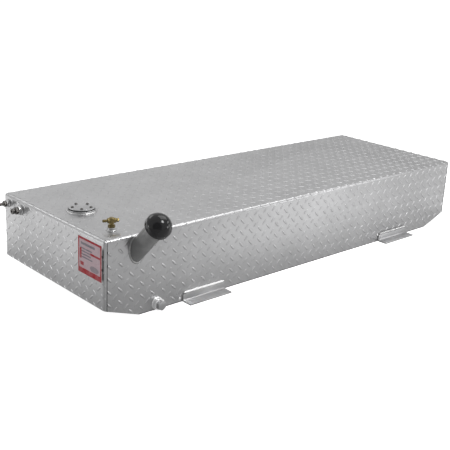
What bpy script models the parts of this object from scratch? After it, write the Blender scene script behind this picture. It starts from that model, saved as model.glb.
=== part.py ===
"""Auxiliary fuel tank of folded aluminium tread plate, with a slanted filler neck and a screw cap.

Metres, +Z up. The origin is under the middle of the floor. The front, with the filler, faces -Y, and
the end that carries the hose fittings faces -X.
"""

import math

import bmesh
import bpy
from mathutils import Matrix, Vector

# Clearance between pieces that touch, and the small bevel of turned edges
SEAT = 0.0003
EDGE_BREAK = 0.0008

# Facets round large rings, round fittings, round small bores, and along the sheets' bends
RING_FACETS = 20
FITTING_FACETS = 12
BORE_FACETS = 8
BEND_FACETS = 3

# Tank shell
LENGTH = 1.524
WIDTH = 0.516
HEIGHT = 0.232
SHEET = 0.0032
BEND_RADIUS = 0.008
END_FOLD = 0.009
CHAMFER_RUN = 0.115
CHAMFER_RISE = 0.0395

# Raised lugs of the front, in two crossed directions. Each row's lugs lie between the next row's
LUG_PITCH = 0.036
LUG_LENGTH = 0.0235
LUG_WIDTH = 0.0066
LUG_HEIGHT = 0.0011
LUG_CLEAR = 0.0015
LUG_START = 0.0507
LUG_DROP = 0.036

# Cross plates inside
BAFFLE_SHEET = 0.0025
BAFFLE_OFFSET = 0.254
BAFFLE_FLANGE = 0.018
BAFFLE_CORNER = 0.020
FLOW_HOLES = 3
FLOW_HOLE_RADIUS = 0.036
FLOW_HOLE_SPACING = 0.145

# Filler neck and cap. The neck leans out of the front by its tilt from upright
NECK_FROM_END = 0.1056
NECK_FROM_TOP = 0.042
NECK_TILT = math.radians(44)
NECK_RADIUS = 0.0254
NECK_WALL = 0.0032
NECK_LENGTH = 0.1232
NECK_BEAD = 0.0032
CAP_RADIUS = 0.0355
CAP_SKIRT = 0.0150
CAP_DOME = 0.026
CAP_EDGE = 0.0015
CAP_WALL = 0.003
CAP_COLLAR_WALL = 0.0028
CAP_COLLAR_CLEAR = 0.0006
CAP_COLLAR_DEPTH = 0.0110
CAP_LEDGE = 0.0185
CAP_HOLLOW = 0.0245
CAP_GASKET = 0.0020

# Round gauge port on top
PORT_FROM_END = 0.095
PORT_Y = -0.009
PORT_RING_RADIUS = 0.040
PORT_RING_HEIGHT = 0.0064
PORT_BORE = 0.021
PORT_COVER_RADIUS = 0.038
PORT_COVER_SHEET = 0.0028
PORT_GASKET_RADIUS = 0.0372
PORT_GASKET_SHEET = 0.0018
PORT_BEAD = 0.0032
PORT_SCREWS = 5
PORT_SCREW_CIRCLE = 0.027
PORT_SCREW_TURN = math.radians(21)
PORT_SCREW_RADIUS = 0.0024
PORT_SCREW_HEAD = 0.0044
PORT_SCREW_HEAD_HEIGHT = 0.0028
PORT_SCREW_RIM = 0.0012
PORT_SCREW_GRIP = 0.0040

# Weld bungs and hose barbs
BUNG_FLARE = 0.0016
BARB_STEP = 0.0008
BARB_LIP = 0.0012

# Brass vent on top
VENT_FROM_END = 0.066
VENT_FROM_FRONT = 0.063
VENT_BUNG_RADIUS = 0.0135
VENT_BUNG_HEIGHT = 0.009
VENT_THREAD_DEPTH = 0.007
VENT_STEM_RADIUS = 0.0058
VENT_HEX = 0.0170
VENT_HEX_HEIGHT = 0.0065
VENT_ARM_Z = 0.0270
VENT_BODY_RADIUS = 0.0075
VENT_BODY_HEIGHT = 0.0165
VENT_RUN_RADIUS = 0.0069
VENT_RUN_BORE = 0.0030
VENT_ARM_TURN = math.radians(160)
VENT_ARM_REACH = 0.0115
VENT_BARB_LENGTH = 0.0125
VENT_BARB_RADIUS = 0.0042
VENT_BARB_BORE = 0.0022
VENT_PLUG_RADIUS = 0.0056
VENT_PLUG_LENGTH = 0.008

# Drain low on the front
DRAIN_FROM_END = 0.173
DRAIN_Z = 0.0195
DRAIN_BUNG_RADIUS = 0.0180
DRAIN_BUNG_HEIGHT = 0.014
DRAIN_THREAD_DEPTH = 0.012
DRAIN_THROAT = 0.0094
DRAIN_PLUG_RADIUS = 0.0105
DRAIN_PLUG_HEX = 0.0254
DRAIN_PLUG_HEIGHT = 0.0110

# Hose fittings on the left end
OUTLET_FROM_BACK = 0.095
OUTLET_FROM_TOP = 0.028
OUTLET_BUNG_RADIUS = 0.0150
OUTLET_BUNG_HEIGHT = 0.010
OUTLET_HEX = 0.0190
OUTLET_HEX_HEIGHT = 0.008
OUTLET_NECK_RADIUS = 0.0062
OUTLET_NECK_LENGTH = 0.004
OUTLET_NUT_RADIUS = 0.0082
OUTLET_NUT_LENGTH = 0.006
OUTLET_BORE = 0.0038
RETURN_FROM_BACK = 0.024
RETURN_FROM_TOP = 0.026
RETURN_BUNG_RADIUS = 0.0120
RETURN_BUNG_HEIGHT = 0.008
RETURN_HEX = 0.0160
RETURN_HEX_HEIGHT = 0.007
RETURN_BARB_LENGTH = 0.024
RETURN_BARB_RADIUS = 0.0050
RETURN_BARB_BORE = 0.0027
THREAD_RADIUS = 0.0066
THREAD_DEPTH = 0.006

# Draw tube from the outlet to the floor
DRAW_TUBE_RADIUS = 0.00475
DRAW_TUBE_WALL = 0.0009
DRAW_TUBE_BEND = 0.025
DRAW_TUBE_PAST_CHAMFER = 0.016
DRAW_TUBE_FLOOR_GAP = 0.009

# Angle brackets along the lower edges
BRACKET_SHEET = 0.0048
BRACKET_LENGTH = 0.155
BRACKET_LEG = 0.024
BRACKET_FOOT = 0.037
BRACKET_BEND_RADIUS = 0.008
BRACKET_LEFT_FROM_END = 0.341
BRACKET_RIGHT_FROM_END = 0.307
BRACKET_BEAD = 0.0030

# Base colours of the finishes
ALUMINIUM = (0.60, 0.60, 0.61)
WELD = (0.72, 0.72, 0.73)
TUBE_GREY = (0.16, 0.16, 0.16)
BLACK_CAP = (0.010, 0.010, 0.011)
BRASS = (0.42, 0.30, 0.08)
DARK_STEEL = (0.10, 0.10, 0.11)
RUBBER = (0.03, 0.03, 0.03)

LEFT = -LENGTH / 2
RIGHT = LENGTH / 2
FRONT = -WIDTH / 2
BACK = WIDTH / 2
CHAMFER_ANGLE = math.atan2(CHAMFER_RISE, CHAMFER_RUN)


def clear_scene():
    """Empties the scene."""
    for obj in list(bpy.data.objects):
        bpy.data.objects.remove(obj)


def new_collection(name):
    """A collection linked to the scene."""
    collection = bpy.data.collections.new(name)
    bpy.context.scene.collection.children.link(collection)
    return collection


clear_scene()
TANK = new_collection("auxiliary_fuel_tank")
CUTTERS = new_collection("cutters")


def material(name, color, metallic, roughness):
    """A Principled BSDF material."""
    result = bpy.data.materials.get(name) or bpy.data.materials.new(name)
    result.use_nodes = True
    shader = result.node_tree.nodes["Principled BSDF"]
    shader.inputs["Base Color"].default_value = (*color, 1)
    shader.inputs["Metallic"].default_value = metallic
    shader.inputs["Roughness"].default_value = roughness
    return result


def tread_finish():
    return material("tread_plate", ALUMINIUM, 0.9, 0.38)


def bare_aluminium():
    return material("bare_aluminium", ALUMINIUM, 0.9, 0.32)


def weld_finish():
    return material("weld_bead", WELD, 0.9, 0.30)


def brass_finish():
    return material("brass", BRASS, 0.9, 0.30)


def steel_finish():
    return material("dark_steel", DARK_STEEL, 0.8, 0.42)


def rubber_finish():
    return material("rubber_seal", RUBBER, 0.0, 0.75)


def object_from(bm, name, finish=None):
    """A node of the tank when it has a finish, and a cutter when it has none."""
    mesh = bpy.data.meshes.new(name)
    bm.to_mesh(mesh)
    bm.free()
    obj = bpy.data.objects.new(name, mesh)
    if finish is None:
        CUTTERS.objects.link(obj)
        obj.hide_render = True
        obj.display_type = "WIRE"
    else:
        TANK.objects.link(obj)
        mesh.materials.append(finish)
    return obj


def boolean(target, tool, operation="DIFFERENCE"):
    """Cuts or joins with the exact solver."""
    modifier = target.modifiers.new(tool.name, "BOOLEAN")
    modifier.operation = operation
    modifier.object = tool
    modifier.solver = "EXACT"


def box_shell(low, high):
    """A box as a bmesh, from corner to corner."""
    bm = bmesh.new()
    size = Vector(high) - Vector(low)
    middle = (Vector(high) + Vector(low)) / 2
    bmesh.ops.create_cube(bm, size=1, matrix=Matrix.Translation(middle) @ Matrix.Diagonal((*size, 1)))
    return bm


def rod(name, radius, depth, segments, finish=None):
    """A cylinder about Z that stands on its object's origin."""
    bm = bmesh.new()
    bmesh.ops.create_cone(
        bm, cap_ends=True, segments=segments, radius1=radius, radius2=radius, depth=depth,
        matrix=Matrix.Translation((0, 0, depth / 2)),
    )
    return object_from(bm, name, finish)


def remove_faces(bm, *directions):
    """Opens a box on the sides that face the given directions."""
    doomed = [face for face in bm.faces if any(face.normal.dot(Vector(d)) > 0.9 for d in directions)]
    bmesh.ops.delete(bm, geom=doomed, context="FACES")


def fold_sheet(obj, radius, thickness, side=-1, segments=BEND_FACETS, fold=math.pi / 2):
    """Rounds the folds of an open surface and gives it a wall on one side of its faces."""
    bend = obj.modifiers.new("bend", "BEVEL")
    bend.width = radius * math.tan(fold / 2)
    bend.segments = segments
    bend.limit_method = "ANGLE"
    bend.angle_limit = fold / 2
    wall = obj.modifiers.new("wall", "SOLIDIFY")
    wall.thickness = thickness
    wall.offset = side
    wall.use_even_offset = True


def turned(name, outline, steps, finish=None):
    """Turns an outline of (radius, height) about Z. It runs down the outer side, and up the bore if any."""
    bm = bmesh.new()
    points = [bm.verts.new((radius, 0, height)) for radius, height in outline]
    for first, second in zip(points, points[1:]):
        bm.edges.new((first, second))
    if outline[0][0] > 0:
        bm.edges.new((points[-1], points[0]))
    obj = object_from(bm, name, finish)
    screw = obj.modifiers.new("turn", "SCREW")
    screw.steps = steps
    screw.render_steps = steps
    screw.use_merge_vertices = True
    screw.merge_threshold = 0.00005
    return obj


def ring(name, outer, bore, low, high, steps, finish=None):
    """A plain ring about Z."""
    return turned(name, [(outer, high), (outer, low), (bore, low), (bore, high)], steps, finish)


def arc(centre, radius, start, end, count):
    """Points of an arc in the plane of an outline, angles in degrees from the radius axis."""
    turns = [math.radians(start + (end - start) * i / count) for i in range(count + 1)]
    return [(centre[0] + radius * math.cos(t), centre[1] + radius * math.sin(t)) for t in turns]


def dome(radius, rim, top, count):
    """Points of a dome from its top on the axis out to its rim."""
    rise = top - rim
    sphere = (radius**2 + rise**2) / (2 * rise)
    centre = top - sphere
    edge = math.degrees(math.asin((rim - centre) / sphere))
    return [(0, top), *arc((0, centre), sphere, 90, edge, count)[1:]]


def barb(name, radius, length, finish=None, ridges=2):
    """Solid hose barb that points up from its root at zero."""
    waist = radius - BARB_STEP
    step = length / (ridges + 1)
    points = [(0, length), (waist, length)]
    for i in range(1, ridges + 1):
        ridge_foot = length - step * i
        points += [(radius, ridge_foot + BARB_LIP), (waist, ridge_foot)]
    return turned(name, [*points, (waist, 0), (0, 0)], FITTING_FACETS, finish)


def at(obj, location, rotation=(0, 0, 0)):
    obj.location = location
    obj.rotation_euler = rotation
    return obj


def inside_form():
    """The room inside the shell, with the inner bends of the end panels at its corners."""
    clear = SHEET + SEAT
    bm = box_shell((LEFT + clear, FRONT + clear, -HEIGHT), (RIGHT - clear, BACK - clear, HEIGHT * 2))
    upright = [e for e in bm.edges if abs(e.verts[0].co.z - e.verts[1].co.z) > HEIGHT]
    bmesh.ops.bevel(
        bm, geom=upright, offset=BEND_RADIUS - clear, segments=BEND_FACETS, profile=0.5, affect="EDGES"
    )
    return object_from(bm, "inside_form")


def chamfer_cutter(name, end):
    """A block whose top lies on the slanted underside at one end: -1 is the left end, 1 the right."""
    reach = LENGTH / 4
    depth = HEIGHT
    bm = bmesh.new()
    middle = Vector((end * (LENGTH / 2 - CHAMFER_RUN / 2), 0, CHAMFER_RISE / 2))
    turn = Matrix.Rotation(-end * CHAMFER_ANGLE, 4, "Y")
    size = Matrix.Diagonal((reach, WIDTH * 1.5, depth, 1))
    place = Matrix.Translation(middle) @ turn @ Matrix.Translation((0, 0, -depth / 2)) @ size
    bmesh.ops.create_cube(bm, size=1, matrix=place)
    return object_from(bm, name)


def neck_foot():
    """Where the neck's axis meets the front."""
    return Vector((LEFT + NECK_FROM_END, FRONT, HEIGHT - NECK_FROM_TOP))


def neck_place(obj, along):
    """Puts a piece on the neck's axis, a given distance from the front."""
    direction = Vector((0, -math.sin(NECK_TILT), math.cos(NECK_TILT)))
    return at(obj, neck_foot() + direction * along, (NECK_TILT, 0, 0))


def bore_through(
    target, name, radius, location, rotation=(0, 0, 0), reach=4 * SHEET, segments=FITTING_FACETS
):
    """Drills a hole that reaches as far on both sides of a point."""
    drill = rod(name, radius, 2 * reach, segments)
    boolean(target, at(drill, location, rotation))
    drill.location -= drill.rotation_euler.to_matrix() @ Vector((0, 0, reach))


def lug_reach():
    """How far a lug and its clearance reach from its centre, across or up."""
    return LUG_LENGTH / 2 * math.cos(math.pi / 4) + LUG_CLEAR


def bare_areas():
    """Areas of the front without lugs, as low and high corners: the neck, the drain and the brackets."""
    neck = NECK_RADIUS + NECK_BEAD
    neck_rise = neck / math.sin(NECK_TILT)
    neck_up = HEIGHT - NECK_FROM_TOP
    bead_top = BRACKET_LEG + 2 * (SEAT + BRACKET_BEAD)
    side = DRAIN_BUNG_RADIUS
    areas = [
        ((NECK_FROM_END - neck, neck_up - neck_rise), (NECK_FROM_END + neck, neck_up + neck_rise)),
        ((DRAIN_FROM_END - side, 0), (DRAIN_FROM_END + side, DRAIN_Z + side)),
    ]
    for middle in (BRACKET_LEFT_FROM_END, LENGTH - BRACKET_RIGHT_FROM_END):
        areas.append(((middle - BRACKET_LENGTH / 2, 0), (middle + BRACKET_LENGTH / 2, bead_top)))
    return areas


def reaches(across, up, low, high):
    """Whether a lug would reach into the area from one corner to another."""
    reach = lug_reach()
    return low[0] - reach < across < high[0] + reach and low[1] - reach < up < high[1] + reach


def off_front(across, up):
    """Whether a lug would reach a bend, an edge or a slanted corner of the front."""
    reach = lug_reach()
    margin = reach + BEND_RADIUS
    if not (margin < across < LENGTH - margin and reach < up < HEIGHT - margin):
        return True
    from_end = min(across, LENGTH - across) - reach
    return up - reach < max(0, CHAMFER_RUN - from_end) * CHAMFER_RISE / CHAMFER_RUN


def front_lugs():
    """Lugs of the front, as low pyramids rooted in its sheet, in rows that lean by turns."""
    half = LUG_PITCH / 2
    sunk = SHEET / 3
    grow = 1 + sunk / LUG_HEIGHT
    size = Matrix.Diagonal((LUG_LENGTH * grow, LUG_WIDTH * grow, 1, 1))
    face = Matrix.Translation((LEFT, FRONT, 0)) @ Matrix.Rotation(math.pi / 2, 4, "X")
    areas = bare_areas()
    bm = bmesh.new()
    for row in range(-int(LUG_DROP / half), int((HEIGHT - LUG_DROP) / half)):
        for column in range(-int(LUG_START / half), int((LENGTH - LUG_START) / half) + 1):
            across, up = LUG_START + column * half, HEIGHT - LUG_DROP - row * half
            if (row + column) % 2 or off_front(across, up):
                continue
            if any(reaches(across, up, *area) for area in areas):
                continue
            lean = Matrix.Rotation(math.pi / 4 if row % 2 else -math.pi / 4, 4, "Z")
            place = face @ Matrix.Translation((across, up, (LUG_HEIGHT - sunk) / 2)) @ lean @ size
            bmesh.ops.create_cone(
                bm, cap_ends=True, segments=4, radius1=0.5, radius2=0, depth=LUG_HEIGHT + sunk, matrix=place
            )
    return object_from(bm, "front_lugs")


def build_wrap(chamfers):
    """Front, top and back in one folded sheet."""
    edge = END_FOLD + SEAT / 2
    bm = box_shell((LEFT + edge, FRONT, 0), (RIGHT - edge, BACK, HEIGHT))
    remove_faces(bm, (0, 0, -1), (-1, 0, 0), (1, 0, 0))
    wrap = object_from(bm, "wrap_sheet", tread_finish())
    fold_sheet(wrap, BEND_RADIUS, SHEET)
    for chamfer in chamfers:
        boolean(wrap, chamfer)
    boolean(wrap, front_lugs(), "UNION")

    reach = 2 * NECK_RADIUS + 2 * SHEET
    bore = NECK_RADIUS - NECK_WALL
    bore_through(wrap, "filler_hole", bore, neck_foot(), (NECK_TILT, 0, 0), reach, RING_FACETS)
    place = (LEFT + PORT_FROM_END, PORT_Y, HEIGHT)
    bore_through(wrap, "port_hole", PORT_BORE, place, segments=RING_FACETS)
    place = (LEFT + VENT_FROM_END, FRONT + VENT_FROM_FRONT, HEIGHT)
    bore_through(wrap, "vent_hole", VENT_STEM_RADIUS, place)
    place = (LEFT + DRAIN_FROM_END, FRONT, DRAIN_Z)
    bore_through(wrap, "drain_hole", DRAIN_PLUG_RADIUS, place, (math.pi / 2, 0, 0))
    return wrap


def build_end_cap(name, end, chamfer):
    """End panel with its front, back and top folded over."""
    outer = end * LENGTH / 2
    inner = end * (LENGTH / 2 - END_FOLD + SEAT / 2)
    bm = box_shell((min(outer, inner), FRONT, 0), (max(outer, inner), BACK, HEIGHT))
    remove_faces(bm, (0, 0, -1), (-end, 0, 0))
    cap = object_from(bm, name, tread_finish())
    fold_sheet(cap, BEND_RADIUS, SHEET)
    boolean(cap, chamfer)
    if end < 0:
        lay = (0, math.pi / 2, 0)
        bore_through(cap, "outlet_hole", DRAW_TUBE_RADIUS + SEAT, outlet_foot(), lay)
        bore_through(cap, "return_hole", RETURN_BARB_BORE, return_foot(), lay)
    return cap


def build_floor():
    """Floor sheet, bent up at both ends behind the end panels."""
    half_run = LENGTH / 2 - CHAMFER_RUN
    half_width = WIDTH / 2 - SHEET - SEAT
    run = CHAMFER_RUN
    bm = bmesh.new()
    bmesh.ops.create_grid(
        bm, x_segments=1, y_segments=1, size=1, matrix=Matrix.Diagonal((half_run, half_width, 1, 1))
    )
    for end in (-1, 1):
        edges = [e for e in bm.edges if all(abs(v.co.x - end * half_run) < 1e-6 for v in e.verts)]
        grown = bmesh.ops.extrude_edge_only(bm, edges=edges)["geom"]
        tips = [v for v in grown if isinstance(v, bmesh.types.BMVert)]
        bmesh.ops.translate(bm, verts=tips, vec=(end * run, 0, run * CHAMFER_RISE / CHAMFER_RUN))
    bmesh.ops.recalc_face_normals(bm, faces=bm.faces)
    if bm.faces[:][0].normal.z < 0:
        bmesh.ops.reverse_faces(bm, faces=bm.faces)
    floor = object_from(bm, "bottom_sheet", tread_finish())
    fold_sheet(floor, BEND_RADIUS, SHEET, side=1, segments=2, fold=CHAMFER_ANGLE)
    fit = floor.modifiers.new("fit", "BOOLEAN")
    fit.operation = "INTERSECT"
    fit.object = inside_form()
    return floor


def build_baffle(name, x, flange_side):
    """Cross plate with folded flanges, flow holes and cut corners."""
    half_width = WIDTH / 2 - SHEET - SEAT
    low = SHEET + SEAT
    high = HEIGHT - SHEET - SEAT
    near, far = x, x + flange_side * BAFFLE_FLANGE
    bm = box_shell((min(near, far), -half_width, low), (max(near, far), half_width, high))
    remove_faces(bm, (0, 0, 1), (0, 0, -1), (flange_side, 0, 0))
    baffle = object_from(bm, name, bare_aluminium())
    fold_sheet(baffle, BAFFLE_SHEET * 2, BAFFLE_SHEET, segments=2)
    lay = (0, math.pi / 2, 0)
    for i in range(FLOW_HOLES):
        y = (i - (FLOW_HOLES - 1) / 2) * FLOW_HOLE_SPACING
        place = (x, y, HEIGHT / 2)
        hole = f"{name}_flow_{i + 1}"
        bore_through(baffle, hole, FLOW_HOLE_RADIUS, place, lay, BAFFLE_FLANGE / 2, BORE_FACETS)
    for side in (-1, 1):
        for z, level in ((low, "low"), (high, "high")):
            corner = f"{name}_{level}_{'front' if side < 0 else 'back'}"
            place = (x, side * half_width, z)
            bore_through(baffle, corner, BAFFLE_CORNER, place, lay, BAFFLE_FLANGE * 2, BORE_FACETS)
    return baffle


def behind_front():
    """All that lies behind the front's outer face and its top bend, less a clearance."""
    reach = 4 * NECK_RADIUS
    x = LEFT + NECK_FROM_END
    bm = box_shell((x - reach, FRONT - SEAT, 0), (x + reach, FRONT + reach, HEIGHT + SEAT))
    edges = [e for e in bm.edges if all(v.co.z > HEIGHT and v.co.y < FRONT for v in e.verts)]
    bmesh.ops.bevel(
        bm, geom=edges, offset=BEND_RADIUS + SEAT, segments=BEND_FACETS, profile=0.5, affect="EDGES"
    )
    return object_from(bm, "behind_front")


def build_filler():
    """Neck, its weld, and the cap with its seal."""
    tube = material("filler_tube", TUBE_GREY, 0.6, 0.40)
    black = material("black_cap", BLACK_CAP, 0.0, 0.12)
    foot = neck_foot()
    behind = behind_front()

    bore = NECK_RADIUS - NECK_WALL
    neck = ring("filler_neck", NECK_RADIUS, bore, -2 * NECK_RADIUS, NECK_LENGTH, RING_FACETS, tube)
    boolean(neck_place(neck, 0), behind)

    section = arc((NECK_RADIUS, 0), NECK_BEAD, 90, -180, 3)
    bead = turned("neck_weld", section, RING_FACETS, weld_finish())
    at(bead, foot, (math.pi / 2, 0, 0))
    bead.scale = (1, 1 / math.sin(NECK_TILT), 1)
    boolean(bead, behind)
    core = rod("neck_core", NECK_RADIUS + SEAT, NECK_LENGTH * 2, RING_FACETS)
    boolean(bead, neck_place(core, -NECK_LENGTH))

    gasket = ring(
        "cap_gasket", NECK_RADIUS - SEAT, bore, SEAT, SEAT + CAP_GASKET, RING_FACETS, rubber_finish()
    )
    neck_place(gasket, NECK_LENGTH)

    ceiling = CAP_GASKET + 2 * SEAT
    collar_in = NECK_RADIUS + CAP_COLLAR_CLEAR
    collar_out = collar_in + CAP_COLLAR_WALL
    skirt_in = CAP_RADIUS - CAP_WALL
    shoulder = ceiling + CAP_WALL
    foot = shoulder - CAP_SKIRT
    hollow = dome(CAP_LEDGE, ceiling + CAP_EDGE, ceiling + CAP_HOLLOW, 2)
    outline = dome(CAP_RADIUS, shoulder, shoulder + CAP_DOME, 5) + [
        (CAP_RADIUS, foot),
        (skirt_in, foot),
        (skirt_in, ceiling),
        (collar_out, ceiling),
        (collar_out, ceiling - CAP_COLLAR_DEPTH),
        (collar_in, ceiling - CAP_COLLAR_DEPTH),
        (collar_in, ceiling),
        (CAP_LEDGE, ceiling),
        *reversed(hollow),
    ]
    cap = turned("filler_cap", outline, RING_FACETS, black)
    neck_place(cap, NECK_LENGTH)
    for obj in (neck, cap):
        smooth(obj)


def smooth(obj):
    """Smooth shading with crisp corners."""
    obj.data.shade_smooth()
    obj.data.set_sharp_from_angle(angle=math.radians(40))


def build_port():
    """Round port on top: welded ring, seal, blank cover and its screws."""
    x, y = LEFT + PORT_FROM_END, PORT_Y
    base = HEIGHT + SEAT
    ring_top = base + PORT_RING_HEIGHT
    gasket_top = ring_top + SEAT + PORT_GASKET_SHEET
    cover_base = gasket_top + SEAT
    cover_top = cover_base + PORT_COVER_SHEET

    plain = bare_aluminium()
    port_ring = ring("port_ring", PORT_RING_RADIUS, PORT_BORE, 0, PORT_RING_HEIGHT, RING_FACETS, plain)
    at(port_ring, (x, y, base))
    bead_foot = PORT_RING_RADIUS + SEAT
    section = [*arc((bead_foot, 0), PORT_BEAD, 90, 0, 2), (bead_foot, 0)]
    port_weld = turned("port_weld", section, RING_FACETS, weld_finish())
    at(port_weld, (x, y, base))
    rubber = rubber_finish()
    gasket = ring("port_gasket", PORT_GASKET_RADIUS, PORT_BORE, 0, PORT_GASKET_SHEET, RING_FACETS, rubber)
    at(gasket, (x, y, ring_top + SEAT))
    cover_outline = [
        (0, PORT_COVER_SHEET),
        (PORT_COVER_RADIUS - EDGE_BREAK, PORT_COVER_SHEET),
        (PORT_COVER_RADIUS, PORT_COVER_SHEET - EDGE_BREAK),
        (PORT_COVER_RADIUS, 0),
        (0, 0),
    ]
    cover = turned("port_cover", cover_outline, RING_FACETS, plain)
    at(cover, (x, y, cover_base))

    shank = cover_top + SEAT - ring_top + PORT_SCREW_GRIP
    screw_outline = dome(PORT_SCREW_HEAD, PORT_SCREW_RIM, PORT_SCREW_HEAD_HEIGHT, 1) + [
        (PORT_SCREW_HEAD, 0),
        (PORT_SCREW_RADIUS, 0),
        (PORT_SCREW_RADIUS, -shank),
        (0, -shank),
    ]
    for i in range(PORT_SCREWS):
        turn = PORT_SCREW_TURN + 2 * math.pi * i / PORT_SCREWS
        px = x + PORT_SCREW_CIRCLE * math.cos(turn)
        py = y + PORT_SCREW_CIRCLE * math.sin(turn)
        hole = rod(f"port_hole_{i + 1}", PORT_SCREW_RADIUS + SEAT, shank + 2 * PORT_SCREW_GRIP, BORE_FACETS)
        at(hole, (px, py, ring_top - PORT_SCREW_GRIP - SEAT))
        for piece in (port_ring, gasket, cover):
            boolean(piece, hole)
        screw = turned(f"port_screw_{i + 1}", screw_outline, BORE_FACETS, steel_finish())
        at(screw, (px, py, cover_top + SEAT))


def bung(name, radius, height, bore, depth, throat):
    """Turned weld bung that stands on a face: flared at its weld, with a narrower throat."""
    neck = radius - BUNG_FLARE
    outline = [
        (neck, height),
        (neck, 2 * BUNG_FLARE),
        (radius, 0),
        (throat, 0),
        (throat, height - depth),
        (bore, height - depth),
        (bore, height),
    ]
    return turned(name, outline, FITTING_FACETS, weld_finish())


def build_vent():
    """Brass vent: nipple with a hexagon, tee, hose barb and plug."""
    x, y = LEFT + VENT_FROM_END, FRONT + VENT_FROM_FRONT
    base = HEIGHT + SEAT
    bore = VENT_STEM_RADIUS + SEAT
    vent_bung = bung("vent_bung", VENT_BUNG_RADIUS, VENT_BUNG_HEIGHT, bore, VENT_THREAD_DEPTH, VENT_BARB_BORE)
    at(vent_bung, (x, y, base))

    hex_foot = base + VENT_BUNG_HEIGHT + SEAT
    stem_foot = base + VENT_BUNG_HEIGHT - VENT_THREAD_DEPTH + SEAT
    stem_top = base + VENT_ARM_Z - VENT_BODY_RADIUS - SEAT
    nipple = rod("vent_nipple", VENT_HEX / math.sqrt(3), VENT_HEX_HEIGHT, 6, brass_finish())
    at(nipple, (x, y, hex_foot))
    stem = rod("vent_stem", VENT_STEM_RADIUS, stem_top - stem_foot, FITTING_FACETS)
    boolean(nipple, at(stem, (x, y, stem_foot)), "UNION")
    place = (x, y, stem_foot)
    bore_through(nipple, "vent_stem_bore", VENT_BARB_BORE, place, reach=VENT_ARM_Z, segments=BORE_FACETS)

    centre = Vector((x, y, base + VENT_ARM_Z))
    lay = (0, math.pi / 2, VENT_ARM_TURN)
    direction = Vector((math.cos(VENT_ARM_TURN), math.sin(VENT_ARM_TURN), 0))
    tee = rod("vent_tee", VENT_BODY_RADIUS, VENT_BODY_HEIGHT, FITTING_FACETS, brass_finish())
    at(tee, centre - Vector((0, 0, VENT_BODY_RADIUS)))
    run = rod("vent_run", VENT_RUN_RADIUS, VENT_ARM_REACH * 2, FITTING_FACETS)
    boolean(tee, at(run, centre - direction * VENT_ARM_REACH, lay), "UNION")
    bore_through(tee, "vent_run_bore", VENT_RUN_BORE, centre, lay, VENT_ARM_REACH * 2, BORE_FACETS)
    down = centre - Vector((0, 0, VENT_BODY_RADIUS))
    bore_through(tee, "vent_down_bore", VENT_BARB_BORE, down, reach=VENT_BODY_RADIUS, segments=BORE_FACETS)

    tail_foot = centre + direction * (VENT_ARM_REACH + SEAT)
    tail = barb("vent_barb", VENT_BARB_RADIUS, VENT_BARB_LENGTH, brass_finish())
    at(tail, tail_foot, lay)
    bore_through(tail, "vent_barb_bore", VENT_BARB_BORE, tail_foot, lay, VENT_BARB_LENGTH * 2, BORE_FACETS)
    plug = rod("vent_plug", VENT_PLUG_RADIUS, VENT_PLUG_LENGTH, 4, brass_finish())
    at(plug, centre - direction * (VENT_ARM_REACH + SEAT + VENT_PLUG_LENGTH), lay)


def build_drain():
    """Drain bung with a hexagon plug."""
    out = (math.pi / 2, 0, 0)
    foot = Vector((LEFT + DRAIN_FROM_END, FRONT - SEAT, DRAIN_Z))
    bore = DRAIN_PLUG_RADIUS + SEAT
    drain_bung = bung(
        "drain_bung", DRAIN_BUNG_RADIUS, DRAIN_BUNG_HEIGHT, bore, DRAIN_THREAD_DEPTH, DRAIN_THROAT
    )
    at(drain_bung, foot, out)
    plug = rod("drain_plug", DRAIN_PLUG_HEX / math.sqrt(3), DRAIN_PLUG_HEIGHT, 6, bare_aluminium())
    at(plug, foot - Vector((0, DRAIN_BUNG_HEIGHT + SEAT, 0)), out)
    shank = rod("drain_shank", DRAIN_PLUG_RADIUS, DRAIN_THREAD_DEPTH, FITTING_FACETS)
    at(shank, foot - Vector((0, DRAIN_BUNG_HEIGHT + 2 * SEAT - DRAIN_THREAD_DEPTH, 0)), out)
    boolean(plug, shank, "UNION")


def outlet_foot():
    """Where the outlet's axis meets the left end."""
    return Vector((LEFT, BACK - OUTLET_FROM_BACK, HEIGHT - OUTLET_FROM_TOP))


def return_foot():
    """Where the return's axis meets the left end."""
    return Vector((LEFT, BACK - RETURN_FROM_BACK, HEIGHT - RETURN_FROM_TOP))


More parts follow.
